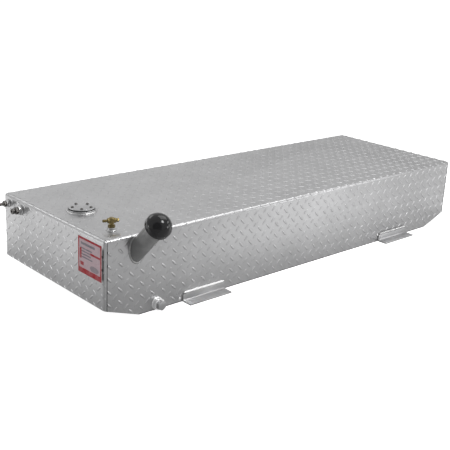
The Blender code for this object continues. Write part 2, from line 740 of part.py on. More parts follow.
def build_outlet():
    """Bung and adapter: a hexagon, a waist and a round nut, bored through."""
    out = (0, -math.pi / 2, 0)
    foot = outlet_foot() - Vector((SEAT, 0, 0))
    throat = DRAW_TUBE_RADIUS + SEAT
    outlet_bung = bung(
        "outlet_bung", OUTLET_BUNG_RADIUS, OUTLET_BUNG_HEIGHT, THREAD_RADIUS + SEAT, THREAD_DEPTH, throat
    )
    at(outlet_bung, foot, out)

    shoulder = foot - Vector((OUTLET_BUNG_HEIGHT + SEAT, 0, 0))
    adapter = rod("outlet_adapter", OUTLET_HEX / math.sqrt(3), OUTLET_HEX_HEIGHT, 6, steel_finish())
    at(adapter, shoulder, out)
    shank = rod("outlet_shank", THREAD_RADIUS, THREAD_DEPTH, FITTING_FACETS)
    boolean(adapter, at(shank, shoulder + Vector((THREAD_DEPTH - SEAT, 0, 0)), out), "UNION")
    waist_end = OUTLET_HEX_HEIGHT + OUTLET_NECK_LENGTH
    nut_end = waist_end + OUTLET_NUT_LENGTH
    outline = [
        (0, nut_end),
        (OUTLET_NUT_RADIUS - EDGE_BREAK, nut_end),
        (OUTLET_NUT_RADIUS, nut_end - EDGE_BREAK),
        (OUTLET_NUT_RADIUS, waist_end),
        (OUTLET_NECK_RADIUS, waist_end),
        (OUTLET_NECK_RADIUS, OUTLET_HEX_HEIGHT / 2),
        (0, OUTLET_HEX_HEIGHT / 2),
    ]
    nut = turned("outlet_nut", outline, FITTING_FACETS)
    boolean(adapter, at(nut, shoulder, out), "UNION")
    bore_through(adapter, "outlet_bore", OUTLET_BORE, shoulder, out, nut_end * 2, BORE_FACETS)


def build_return():
    """Bung and straight hose barb with a hexagon."""
    out = (0, -math.pi / 2, 0)
    foot = return_foot() - Vector((SEAT, 0, 0))
    return_bung = bung(
        "return_bung", RETURN_BUNG_RADIUS, RETURN_BUNG_HEIGHT, THREAD_RADIUS + SEAT, THREAD_DEPTH,
        RETURN_BARB_BORE,
    )
    at(return_bung, foot, out)
    shoulder = foot - Vector((RETURN_BUNG_HEIGHT + SEAT, 0, 0))
    fitting = rod("return_barb", RETURN_HEX / math.sqrt(3), RETURN_HEX_HEIGHT, 6, steel_finish())
    at(fitting, shoulder, out)
    shank = rod("return_shank", THREAD_RADIUS, THREAD_DEPTH, FITTING_FACETS)
    boolean(fitting, at(shank, shoulder + Vector((THREAD_DEPTH - SEAT, 0, 0)), out), "UNION")
    tail = barb("return_tail", RETURN_BARB_RADIUS, RETURN_BARB_LENGTH + RETURN_HEX_HEIGHT / 2)
    boolean(fitting, at(tail, shoulder - Vector((RETURN_HEX_HEIGHT / 2, 0, 0)), out), "UNION")
    reach = RETURN_HEX_HEIGHT + RETURN_BARB_LENGTH + THREAD_DEPTH
    bore_through(fitting, "return_bore", RETURN_BARB_BORE, shoulder, out, reach, BORE_FACETS)


def build_draw_tube():
    """Tube from the outlet bung along the end, then down to the floor past the slanted corner."""
    start = outlet_foot() - Vector((OUTLET_BUNG_HEIGHT - THREAD_DEPTH, 0, 0))
    drop_x = LEFT + CHAMFER_RUN + DRAW_TUBE_PAST_CHAMFER
    bend = Vector((drop_x - DRAW_TUBE_BEND, start.y, start.z - DRAW_TUBE_BEND))
    turns = [math.pi / 2 * (1 - i / BEND_FACETS) for i in range(BEND_FACETS + 1)]
    elbow = [bend + Vector((math.cos(t), 0, math.sin(t))) * DRAW_TUBE_BEND for t in turns]
    end = Vector((drop_x, start.y, SHEET + DRAW_TUBE_FLOOR_GAP))
    points = [start, *elbow, end]

    curve = bpy.data.curves.new("draw_tube", "CURVE")
    curve.dimensions = "3D"
    curve.bevel_depth = DRAW_TUBE_RADIUS
    curve.bevel_resolution = 2
    curve.use_fill_caps = False
    spline = curve.splines.new("POLY")
    spline.points.add(len(points) - 1)
    for target, point in zip(spline.points, points):
        target.co = (*point, 1)
    curve.materials.append(bare_aluminium())
    tube = bpy.data.objects.new("draw_tube", curve)
    TANK.objects.link(tube)
    wall = tube.modifiers.new("wall", "SOLIDIFY")
    wall.thickness = DRAW_TUBE_WALL
    wall.offset = -1


def build_brackets():
    """Four angle feet with a weld along the top of each."""
    centres = {"left": LEFT + BRACKET_LEFT_FROM_END, "right": RIGHT - BRACKET_RIGHT_FROM_END}
    for side, wall in (("front", -1), ("rear", 1)):
        for name, x in centres.items():
            face = wall * (WIDTH / 2 + SEAT)
            tip = wall * (WIDTH / 2 + BRACKET_FOOT)
            half = BRACKET_LENGTH / 2
            bm = box_shell((x - half, min(face, tip), 0), (x + half, max(face, tip), BRACKET_LEG))
            remove_faces(bm, (0, 0, 1), (-1, 0, 0), (1, 0, 0), (0, wall, 0))
            bracket = object_from(bm, f"{side}_{name}_bracket", bare_aluminium())
            fold_sheet(bracket, BRACKET_BEND_RADIUS, BRACKET_SHEET)

            weld = weld_finish()
            bead = rod(f"{side}_{name}_bracket_weld", BRACKET_BEAD, BRACKET_LENGTH, BORE_FACETS, weld)
            middle = wall * (WIDTH / 2 + SEAT + BRACKET_BEAD)
            at(bead, (x - half, middle, BRACKET_LEG + SEAT + BRACKET_BEAD), (0, math.pi / 2, 0))


def main():
    left_chamfer = chamfer_cutter("left_chamfer", -1)
    right_chamfer = chamfer_cutter("right_chamfer", 1)
    build_wrap((left_chamfer, right_chamfer))
    build_end_cap("left_end_cap", -1, left_chamfer)
    build_end_cap("right_end_cap", 1, right_chamfer)
    build_floor()
    build_baffle("baffle_left", -BAFFLE_OFFSET, 1)
    build_baffle("baffle_right", BAFFLE_OFFSET, -1)
    build_filler()
    build_port()
    build_vent()
    build_drain()
    build_outlet()
    build_return()
    build_draw_tube()
    build_brackets()


main()
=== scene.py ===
"""Looks of the auxiliary fuel tank: tread plate, welds, filler, fittings, label, studio and camera.

Metres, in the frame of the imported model: the origin is under the middle of the floor, the front with
the filler faces -Y, and the end that carries the hose fittings faces -X.
"""

import logging
import math
from collections.abc import Callable, Iterable, Sequence
from dataclasses import dataclass
from enum import Enum

import bpy
import numpy as np
from mathutils import Matrix, Vector


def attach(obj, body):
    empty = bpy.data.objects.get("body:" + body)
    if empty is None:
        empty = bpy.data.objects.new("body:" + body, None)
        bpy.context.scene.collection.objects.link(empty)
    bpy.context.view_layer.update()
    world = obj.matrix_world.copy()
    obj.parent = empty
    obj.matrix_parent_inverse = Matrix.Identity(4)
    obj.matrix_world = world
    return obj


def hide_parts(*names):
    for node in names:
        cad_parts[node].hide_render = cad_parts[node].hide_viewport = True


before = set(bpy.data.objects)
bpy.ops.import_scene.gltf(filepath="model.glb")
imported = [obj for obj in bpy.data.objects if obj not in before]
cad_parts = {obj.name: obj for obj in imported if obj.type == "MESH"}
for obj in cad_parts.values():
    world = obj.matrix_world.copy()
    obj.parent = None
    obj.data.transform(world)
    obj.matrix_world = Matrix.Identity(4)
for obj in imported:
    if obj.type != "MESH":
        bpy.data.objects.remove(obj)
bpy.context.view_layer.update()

log = logging.getLogger("fuel_tank")

Pair = tuple[float, float]
Point = tuple[float, float, float]
Turn = tuple[float, float, float]
Color = tuple[float, float, float]
Area = tuple[float, float, float, float]
Fade = tuple[float, float, Pair]
Outline = Sequence[Pair]
Piece = bpy.types.Object
Test = Callable[[Vector, Vector], bool]

# Sizes of the tank's shell
LENGTH = 1.524
WIDTH = 0.516
HEIGHT = 0.232
SHEET = 0.0032
SEAT = 0.0003
BEND_RADIUS = 0.008
END_FOLD = 0.009
SEAM_BEVEL = 0.0008
CHAMFER_RUN = 0.115
CHAMFER_RISE = 0.0395
LEFT = -LENGTH / 2
RIGHT = LENGTH / 2
FRONT = -WIDTH / 2
BACK = WIDTH / 2
QUARTER = math.pi / 2

# Edges that turn more than this are bevelled
CREASE = math.radians(45)

# Edit step that turns all faces outwards
OUTWARD = (bpy.ops.mesh.normals_make_consistent, {"inside": False})

# Turns that lay a piece's own up direction out of a side of the tank
UPRIGHT = (0.0, 0.0, 0.0)
OUT_FRONT = (QUARTER, 0.0, 0.0)
OUT_LEFT = (0.0, -QUARTER, 0.0)

# Tread pattern
LUG_PITCH = 0.036
LUG_LENGTH = 0.0235
LUG_WIDTH = 0.0078
LUG_HEIGHT = 0.0011
LUG_SINK = 0.00025
LUG_SIDES = 12
FLAT_TOP = WIDTH / 2 - BEND_RADIUS
FLAT_SIDE = HEIGHT - BEND_RADIUS
WRAP_REACH = FLAT_TOP + QUARTER * BEND_RADIUS + FLAT_SIDE

# Steps of a lug up to its crest: share of its height, and how it is drawn in there
LUG_STEPS = ((0.35, (0.95, 0.88, 1)), (0.50, (0.84, 0.60, 1)), (0.15, (0.66, 0.34, 1)))

# Height of one row of rising lugs on both ends
END_LUG_UP = HEIGHT - 0.029

# Filler neck and cap
NECK_FOOT = Vector((LEFT + 0.1056, FRONT, HEIGHT - 0.042))
NECK_TILT = math.radians(44)
NECK_RADIUS = 0.0254
NECK_BORE = 0.0222
NECK_LENGTH = 0.1232
NECK_THREAD_PITCH = 0.004
NECK_THREAD_DEPTH = 0.0007
CAP_RADIUS = 0.0355
CAP_GASKET = 0.0020

# Places of the fittings
PORT_PLACE = Vector((LEFT + 0.095, -0.009, HEIGHT))
VENT_PLACE = Vector((LEFT + 0.066, FRONT + 0.063, HEIGHT))
VENT_ARM_TURN = math.radians(160)
DRAIN_PLACE = Vector((LEFT + 0.173, FRONT, 0.0195))
OUTLET_PLACE = Vector((LEFT, BACK - 0.095, HEIGHT - 0.028))
RETURN_PLACE = Vector((LEFT, BACK - 0.024, HEIGHT - 0.026))

# Brackets
BRACKET_LENGTH = 0.155
BRACKET_LEG = 0.024
BRACKET_FOOT = 0.037
BRACKET_SHEET = 0.0048
BRACKET_BEAD = 0.0036
BRACKET_CENTRES = {"left": LEFT + 0.341, "right": RIGHT - 0.307}

# Hexagons: fall of a turned-off corner as a share of its reach past the flats, and radius of the tool
# that turns it off as a share of the corner's own
HEX_FALL = 0.7
HEX_ROOM = 1.02

# Hose barbs: waist as a share of the largest radius
BARB_WAIST = 0.81

# Weld beads: facets along and round a stitch, and depths of swells and ripples as shares of the radius
STITCH_STEPS = 12
STITCH_SIDES = 20
STITCH_SWELL = 0.20
STITCH_RIPPLE = 0.035
STITCH_RIPPLES = 6
RING_RIPPLE = 0.13

# Drills for the small bores: lowest and highest end, and sides
DRILL = (-0.02, 0.05)
DRILL_SIDES = 24

# Label on the left end, seen from outside: across runs towards the front
LABEL_ACROSS = (0.138, 0.246)
LABEL_UP = (0.1157, 0.2164)


class Part(Enum):
    """What is picked in edit mode."""

    VERTEX = "VERT"
    EDGE = "EDGE"
    FACE = "FACE"


class Body(Enum):
    """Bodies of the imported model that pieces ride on."""

    TANK = "tank"
    CAP = "cap"


class Slot(Enum):
    """Material slots of the record."""

    TREAD = "tread_plate"
    PLAIN = "bare_aluminium"
    WELD = "weld_bead"
    TUBE = "filler_tube"
    CAP = "black_cap"
    BRASS = "brass"
    STEEL = "dark_steel"
    RUBBER = "rubber_seal"


def focus(piece: Piece) -> None:
    """Makes a piece the only one selected, and the active one.

    Args:
        piece: the piece to select.
    """
    bpy.ops.object.select_all(action="DESELECT")
    piece.select_set(True)
    bpy.context.view_layer.objects.active = piece


def settle(piece: Piece) -> Piece:
    """Moves a piece's place, turn and size into its mesh.

    Args:
        piece: the piece to settle.

    Returns:
        The same piece.
    """
    focus(piece)
    bpy.ops.object.transform_apply(location=True, rotation=True, scale=True)
    return piece


def taken(name: str) -> Piece:
    """Names the primitive that was just added and settles it.

    Args:
        name: its new name.

    Returns:
        The primitive as a piece.
    """
    piece = bpy.context.active_object
    piece.name = name
    piece.data.name = name
    return settle(piece)


def pick(piece: Piece, part: Part, test: Test) -> None:
    """Selects parts of a mesh.

    Args:
        piece: the piece to select in.
        part: what is selected.
        test: gets a part's place and normal, or an edge's middle and direction.
    """
    mesh = piece.data
    for group in (mesh.vertices, mesh.edges, mesh.polygons):
        group.foreach_set("select", np.zeros(len(group), bool))
    bpy.context.tool_settings.mesh_select_mode = [part is kind for kind in Part]
    if part is Part.VERTEX:
        for vertex in mesh.vertices:
            vertex.select = test(vertex.co, vertex.normal)
    elif part is Part.EDGE:
        for edge in mesh.edges:
            start, end = (mesh.vertices[i].co for i in edge.vertices)
            edge.select = test((start + end) / 2, (end - start).normalized())
    else:
        for face in mesh.polygons:
            face.select = test(face.center, face.normal)


def anywhere(_place: Vector, _normal: Vector) -> bool:
    """A test that picks everything."""
    return True


def facing(direction: Vector) -> Test:
    """A test for faces that look the given way."""
    return lambda _place, normal: normal.dot(direction) > 0.9


def edit(piece: Piece, part: Part, test: Test, *steps: tuple) -> Piece:
    """Runs edit mode operators on picked parts of a piece.

    Args:
        piece: the piece to work on.
        part: what is picked.
        test: picks by place and normal.
        steps: pairs of an operator and its settings.

    Returns:
        The same piece.
    """
    focus(piece)
    pick(piece, part, test)
    bpy.ops.object.mode_set(mode="EDIT")
    for operator, settings in steps:
        operator(**settings)
    bpy.ops.object.mode_set(mode="OBJECT")
    return piece


def modify(piece: Piece, kind: str, **settings: object) -> Piece:
    """Adds a modifier and applies it.

    Args:
        piece: the piece to work on.
        kind: the modifier's type.
        settings: properties of the modifier.

    Returns:
        The same piece.
    """
    focus(piece)
    modifier = piece.modifiers.new(kind.lower(), kind)
    for key, value in settings.items():
        setattr(modifier, key, value)
    bpy.ops.object.modifier_apply(modifier=modifier.name)
    return piece


def bevel(piece: Piece, width: float, segments: int = 2) -> Piece:
    """Bevels the sharp edges of a piece."""
    return modify(
        piece, "BEVEL", width=width, segments=segments, limit_method="ANGLE", angle_limit=CREASE
    )


def combine(piece: Piece, tool: Piece, operation: str = "DIFFERENCE") -> Piece:
    """Cuts, joins or intersects with another piece, which is used up.

    Args:
        piece: the piece to work on.
        tool: the other piece.
        operation: DIFFERENCE, UNION or INTERSECT.

    Returns:
        The first piece.
    """
    modify(piece, "BOOLEAN", operation=operation, object=tool, solver="EXACT")
    bpy.data.objects.remove(tool)
    return piece


def fuse(name: str, pieces: Sequence[Piece]) -> Piece:
    """Puts several pieces in one object.

    Args:
        name: the object's name.
        pieces: the pieces, of which the first one stays.

    Returns:
        The first piece, with all the meshes.
    """
    focus(pieces[0])
    for piece in pieces:
        piece.select_set(True)
    bpy.ops.object.join()
    pieces[0].name = name
    return pieces[0]


def copied(piece: Piece, name: str) -> Piece:
    """A copy with a mesh of its own.

    Args:
        piece: the piece to copy.
        name: the copy's name.

    Returns:
        The copy.
    """
    focus(piece)
    bpy.ops.object.duplicate(linked=False)
    return taken(name)


def block(name: str, low: Vector, high: Vector) -> Piece:
    """A box from corner to corner, to be worked on."""
    bpy.ops.mesh.primitive_cube_add(size=1, location=(low + high) / 2, scale=high - low)
    return taken(name)


def folded_sheet(
    name: str, low: Vector, high: Vector, openings: Iterable[Point],
    bend: float, thickness: float, edge: float,
) -> Piece:
    """A sheet folded from a box that is open on some sides.

    Args:
        name: the piece's name.
        low: lowest corner of the box.
        high: highest corner of the box.
        openings: directions of the sides that are left open.
        bend: outer radius of the folds.
        thickness: the sheet's thickness, inwards from the box.
        edge: bevel of the sheet's cut edges.

    Returns:
        The folded piece.
    """
    sheet = block(name, low, high)
    for direction in openings:
        edit(sheet, Part.FACE, facing(Vector(direction)), (bpy.ops.mesh.delete, {"type": "FACE"}))
    bevel(sheet, bend, 8)
    modify(sheet, "SOLIDIFY", thickness=thickness, offset=-1, use_even_offset=True)
    return bevel(sheet, edge)


def drum(name: str, radius: float, low: float, high: float, sides: int = 48) -> Piece:
    """A cylinder or prism about Z, to be worked on.

    Args:
        name: the piece's name.
        radius: radius over its corners.
        low: height of its lower end.
        high: height of its upper end.
        sides: number of sides.

    Returns:
        The piece.
    """
    bpy.ops.mesh.primitive_cylinder_add(
        vertices=sides, radius=radius, depth=high - low, location=(0, 0, (low + high) / 2)
    )
    return taken(name)


def place(piece: Piece, location: Vector, turn: Turn = UPRIGHT) -> Piece:
    """Turns a piece about the origin and moves it.

    Args:
        piece: the piece to place.
        location: where its origin goes.
        turn: turns about X, Y and Z in radians.

    Returns:
        The same piece.
    """
    piece.rotation_euler = turn
    piece.location = location
    return settle(piece)


def arc(centre: Pair, radius: float, start: float, end: float, count: int) -> list:
    """Points of an arc in an outline, angles in degrees from the radius axis.

    Args:
        centre: its centre, as radius and height.
        radius: its own radius.
        start: first angle.
        end: last angle.
        count: number of steps.

    Returns:
        The points from the first angle to the last.
    """
    turns = [math.radians(start + (end - start) * i / count) for i in range(count + 1)]
    return [(centre[0] + radius * math.cos(t), centre[1] + radius * math.sin(t)) for t in turns]


def dome(radius: float, rim: float, top: float, count: int) -> list:
    """Points of a dome from its top on the axis out to its rim.

    Args:
        radius: radius of the rim.
        rim: height of the rim.
        top: height of the top.
        count: number of steps.

    Returns:
        The points in order.
    """
    rise = top - rim
    sphere = (radius**2 + rise**2) / (2 * rise)
    edge = math.degrees(math.asin((rim - top + sphere) / sphere))
    return [(0.0, top), *arc((0, top - sphere), sphere, 90, edge, count)[1:]]


def turned(name: str, outline: Outline, steps: int = 64) -> Piece:
    """Spins an outline of (radius, height) about Z.

    Args:
        name: the piece's name.
        outline: runs down the outer side, and up the bore if it starts off the axis.
        steps: facets round the axis.

    Returns:
        A closed piece with its axis on Z.
    """
    path = [Vector((radius, 0, height)) for radius, height in outline]
    if outline[0][0] > 0:
        path.append(path[0])
    bpy.ops.mesh.primitive_plane_add(size=SHEET)
    piece = taken(name)
    extrusions = [
        (bpy.ops.mesh.extrude_vertices_move, {"TRANSFORM_OT_translate": {"value": end - start}})
        for start, end in zip(path, path[1:])
    ]
    edit(
        piece, Part.VERTEX, anywhere,
        (bpy.ops.mesh.merge, {"type": "CENTER"}),
        (bpy.ops.transform.translate, {"value": path[0]}),
        *extrusions,
        (bpy.ops.mesh.select_all, {"action": "SELECT"}),
        (bpy.ops.mesh.spin, {"steps": steps, "angle": 2 * math.pi, "center": (0, 0, 0), "axis": (0, 0, 1)}),
        (bpy.ops.mesh.select_all, {"action": "SELECT"}),
        (bpy.ops.mesh.remove_doubles, {"threshold": 0.00002}),
        OUTWARD,
    )
    return piece


def hex_head(name: str, across: float, low: float, high: float) -> Piece:
    """A hexagon with its corners turned off at the top.

    Args:
        name: the piece's name.
        across: its size over two flats.
        low: height of its foot.
        high: height of its top.

    Returns:
        The closed piece.
    """
    corner = across / math.sqrt(3)
    fall = (corner - across / 2) * HEX_FALL
    head = drum(name, corner, low, high, 6)
    rim = corner * HEX_ROOM
    crown = [(0, high), (across / 2 - fall / 4, high), (rim, high - fall), (rim, low), (0, low)]
    return combine(head, turned("crown", crown), "INTERSECT")


def barb_outline(radius: float, bore: float, length: float, ridges: int = 3) -> list:
    """Outline of a hose barb that points up from its root at zero, with its bore.

    Args:
        radius: largest radius of the ridges.
        bore: radius of the bore, or zero for none.
        length: length from root to tip.
        ridges: number of ridges.

    Returns:
        Points of (radius, height) down the outer side.
    """
    waist = radius * BARB_WAIST
    step = length / (ridges + 1)
    points = [(bore, length), (waist - 0.0003, length), (waist, length - 0.0003)]
    for i in range(1, ridges + 1):
        foot = length - step * i
        points += [(radius - 0.00015, foot + 0.0010), (radius, foot + 0.0006)]
        points += [(radius, foot + 0.0002), (waist, foot)]
    return [*points, (waist, 0), (bore, 0)]


def stitch_bead(name: str, radius: float, length: float, stitches: int) -> Piece:
    """A weld bead along X, as a row of overlapping swells with closed ends.

    Args:
        name: the piece's name.
        radius: largest radius of the bead.
        length: its length.
        stitches: number of swells.

    Returns:
        The bead, with its middle at the origin.
    """
    steps = STITCH_STEPS * stitches
    points = [(0.0, length)]
    for i in range(1, steps):
        share = i / steps
        end = min(1.0, math.sqrt(min(share, 1 - share) * stitches * 2.2))
        swell = 1 - STITCH_SWELL + STITCH_SWELL * abs(math.sin(math.pi * share * stitches)) ** 0.6
        ripple = 1 + STITCH_RIPPLE * math.cos(2 * math.pi * share * stitches * STITCH_RIPPLES)
        points.append((radius * end * swell * ripple, length * (1 - share)))
    bead = turned(name, [*points, (0.0, 0.0)], STITCH_SIDES)
    return place(bead, Vector((-length / 2, 0, 0)), (0, QUARTER, 0))


def ring_bead(name: str, ring: float, radius: float, ripples: int) -> Piece:
    """A rippled weld bead round Z.

    Args:
        name: the piece's name.
        ring: radius of the circle that it follows.
        radius: radius of the bead.
        ripples: number of ripples.

    Returns:
        The bead, with its centre at the origin.
    """
    bpy.ops.mesh.primitive_torus_add(
        major_radius=ring, minor_radius=radius, major_segments=ripples * 3, minor_segments=12
    )
    bead = taken(name)
    pace = 2 * math.pi / ripples

    def crest(point: Vector, _normal: Vector) -> bool:
        """Picks the points on a ripple's crest."""
        turn = math.atan2(point.y, point.x) % pace
        return min(turn, pace - turn) < pace / 6

    return edit(bead, Part.VERTEX, crest, (bpy.ops.transform.shrink_fatten, {"value": radius * RING_RIPPLE}))


@dataclass
class Graph:
    """Short calls for building the nodes of a material.

    Attributes:
        material: the material or world that the nodes belong to.
    """

    material: bpy.types.Material | bpy.types.World

    @classmethod
    def new(cls, name: str) -> "Graph":
        """A graph for a new material.

        Args:
            name: the material's name.

        Returns:
            The graph, with the surface shader in place.
        """
        material = bpy.data.materials.new(name)
        material.use_nodes = True
        return cls(material)

    @property
    def shader(self) -> bpy.types.Node:
        """The material's surface shader."""
        return self.material.node_tree.nodes["Principled BSDF"]

    def put(self, socket: bpy.types.NodeSocket, value: object) -> None:
        """Links a socket to an output, or sets its constant.

        Args:
            socket: the input that is set.
            value: an output, a colour or a number.
        """
        if isinstance(value, bpy.types.NodeSocket):
            self.material.node_tree.links.new(value, socket)
        elif isinstance(value, tuple) and socket.type == "RGBA":
            socket.default_value = (*value, 1)
        else:
            socket.default_value = value

    def node(self, kind: str, inputs: dict | None = None, **settings: object) -> bpy.types.Node:
        """Adds a node.

        Args:
            kind: the node's type.
            inputs: outputs or constants by the input's name or number.
            settings: properties of the node.

        Returns:
            The new node.
        """
        result = self.material.node_tree.nodes.new(kind)
        for key, value in settings.items():
            setattr(result, key, value)
        for key, value in (inputs or {}).items():
            self.put(result.inputs[key], value)
        return result

    def math(self, operation: str, *values: object) -> bpy.types.NodeSocket:
        """The result of an arithmetic node."""
        return self.node("ShaderNodeMath", dict(enumerate(values)), operation=operation).outputs[0]

    def times(self, *values: object) -> bpy.types.NodeSocket:
        """The product of several values.

        Args:
            values: two or more outputs or numbers.

        Returns:
            The product's output.
        """
        product = values[0]
        for value in values[1:]:
            product = self.math("MULTIPLY", product, value)
        return product

    def off(self, value: object, middle: float) -> bpy.types.NodeSocket:
        """How far a value is from a middle, either way."""
        return self.math("ABSOLUTE", self.math("SUBTRACT", value, middle))

    def place(self) -> bpy.types.NodeSocket:
        """The shaded point in the object's own coordinates."""
        return self.node("ShaderNodeTexCoord").outputs["Object"]

    def stretched(self, scale: Point) -> bpy.types.NodeSocket:
        """The shaded point with its axes scaled."""
        return self.node("ShaderNodeMapping", {"Vector": self.place(), "Scale": scale}).outputs[0]

    def noise(self, where: bpy.types.NodeSocket, size: float, detail: float = 3) -> bpy.types.NodeSocket:
        """Cloudy noise whose clouds have about the given size."""
        inputs = {"Vector": where, "Scale": 1 / size, "Detail": detail, "Roughness": 0.6}
        return self.node("ShaderNodeTexNoise", inputs).outputs["Fac"]

    def clouds(self, size: float) -> bpy.types.NodeSocket:
        """Soft clouds of about the given size, from zero to one."""
        return self.spread(self.noise(self.place(), size), 0.3, 0.7)

    def spread(self, value: object, low: float, high: float, to: Pair = (0.0, 1.0)) -> bpy.types.NodeSocket:
        """A value carried smoothly from one range to another, and held at its ends."""
        inputs = {"Value": value, "From Min": low, "From Max": high, "To Min": to[0], "To Max": to[1]}
        return self.node("ShaderNodeMapRange", inputs, interpolation_type="SMOOTHSTEP").outputs[0]

    def blend(self, share: object, first: object, second: object) -> bpy.types.NodeSocket:
        """A mix of two colours.

        Args:
            share: share of the second colour.
            first: the colour at a share of zero.
            second: the colour at a share of one.

        Returns:
            The colour's output.
        """
        node = self.node("ShaderNodeMix", data_type="RGBA")
        self.put(node.inputs[0], share)
        self.put(node.inputs[6], first)
        self.put(node.inputs[7], second)
        return node.outputs[2]

    def axes(self) -> list:
        """The x, y and z of the shaded point."""
        return list(self.node("ShaderNodeSeparateXYZ", {0: self.place()}).outputs)

    def seen(self, direct: float, mirrored: object) -> bpy.types.NodeSocket:
        """One level where the camera looks straight at a thing, another where metal or glass shows it.

        Args:
            direct: level for the camera.
            mirrored: level in reflections.

        Returns:
            The level's output, zero for all other rays.
        """
        path = self.node("ShaderNodeLightPath").outputs
        glossy = self.math("MAXIMUM", path["Is Glossy Ray"], path["Is Transmission Ray"])
        straight = self.math("MULTIPLY", path["Is Camera Ray"], direct)
        return self.math("MAXIMUM", straight, self.math("MULTIPLY", glossy, mirrored))


def tinted(color: Color, factor: float) -> Color:
    """A colour made lighter or darker."""
    return tuple(min(1.0, channel * factor) for channel in color)


@dataclass(frozen=True)
class Finish:
    """A surface with cloudy colour, fine grain and a roughness that drifts.

    Attributes:
        name: the material's name.
        color: linear base colour.
        roughness: middle roughness.
        metallic: share of metal.
        cloud: how far the colour drifts either way.
        cloud_size: size of the colour's clouds.
        grain: depth of the fine grain.
        grain_size: size of the fine grain.
        lay: stretch of the grain along the axes.
        drift: how far the roughness drifts either way.
        shine: level of the reflections of what isn't metal.
    """

    name: str
    color: Color
    roughness: float
    metallic: float = 0.9
    cloud: float = 0.08
    cloud_size: float = 0.05
    grain: float = 0.00003
    grain_size: float = 0.0012
    lay: Point = (1.0, 1.0, 1.0)
    drift: float = 0.06
    shine: float = 0.5

    def color_of(self, graph: Graph) -> bpy.types.NodeSocket:
        """The clouded colour."""
        clouds = graph.clouds(self.cloud_size)
        return graph.blend(clouds, tinted(self.color, 1 - self.cloud), tinted(self.color, 1 + self.cloud))

    def make(self) -> bpy.types.Material:
        """The material, built on first use.

        Returns:
            The material.
        """
        ready = bpy.data.materials.get(self.name)
        if ready:
            return ready
        graph = Graph.new(self.name)
        shader = graph.shader
        graph.put(shader.inputs["Base Color"], self.color_of(graph))
        shader.inputs["Metallic"].default_value = self.metallic
        shader.inputs["Specular IOR Level"].default_value = self.shine
        smear = graph.noise(graph.stretched(self.lay), self.cloud_size / 4)
        level = (self.roughness - self.drift, self.roughness + self.drift)
        graph.put(shader.inputs["Roughness"], graph.spread(smear, 0.25, 0.75, level))
        height = graph.noise(graph.stretched(self.lay), self.grain_size, 4)
        bump = graph.node("ShaderNodeBump", {"Height": height, "Distance": self.grain, "Strength": 1.0})
        graph.put(shader.inputs["Normal"], bump.outputs[0])
        return graph.material


@dataclass(frozen=True)
class TreadFinish(Finish):
    """Tread plate with painted shade: darker along the end seams, in a strip on the corner beside the label
    and along the lower rim.

    Attributes:
        seam: fade of the painted shade along a seam, by the distance from its line.
        seam_top: fade of the seam towards the top.
        strip: fade of the painted shade strip on the corner beside the label, by the distance from its line.
        strip_line: place of the strip's line behind the front.
        strip_end: length over which the strip's ends fade.
        strip_depth: fade of the strip away from the left end.
        rim: fade of the painted shade along the lower rim, by the height over the floor.
        painted_shade_level: level of the painted shade in the dark places.
    """

    seam: Fade = (0.0006, 0.0018, (0.95, 0.0))
    seam_top: Fade = (HEIGHT - 0.007, HEIGHT - 0.002, (1.0, 0.2))
    strip: Fade = (0.0024, 0.0036, (1.0, 0.0))
    strip_line: float = FRONT + 0.0068
    strip_end: float = 0.012
    strip_depth: Fade = (LEFT + 0.004, LEFT + 0.005, (1.0, 0.0))
    rim: Fade = (0.0020, 0.0045, (0.7, 0.0))
    painted_shade_level: float = 0.10

    def color_of(self, graph: Graph) -> bpy.types.NodeSocket:
        """The clouded colour with its painted shade.

        Args:
            graph: the material's graph.

        Returns:
            The colour's output.
        """
        base = super().color_of(graph)
        x, y, z = graph.axes()
        # Painted shade: a dark line along each end seam, a dark strip on the corner beside the label and a
        # dark band along the lower rim.
        from_seam = graph.off(graph.math("ABSOLUTE", x), LENGTH / 2 - END_FOLD)
        seam = graph.times(graph.spread(from_seam, *self.seam), graph.spread(z, *self.seam_top))
        half = (LABEL_UP[1] - LABEL_UP[0]) / 2
        corner = graph.spread(graph.off(y, self.strip_line), *self.strip)
        beside = graph.spread(graph.off(z, sum(LABEL_UP) / 2), half - self.strip_end, half, (1.0, 0.0))
        strip = graph.times(corner, beside, graph.spread(x, *self.strip_depth))
        dark = graph.math("MAXIMUM", graph.math("MAXIMUM", seam, strip), graph.spread(z, *self.rim))
        return graph.blend(dark, base, tinted(self.color, self.painted_shade_level))


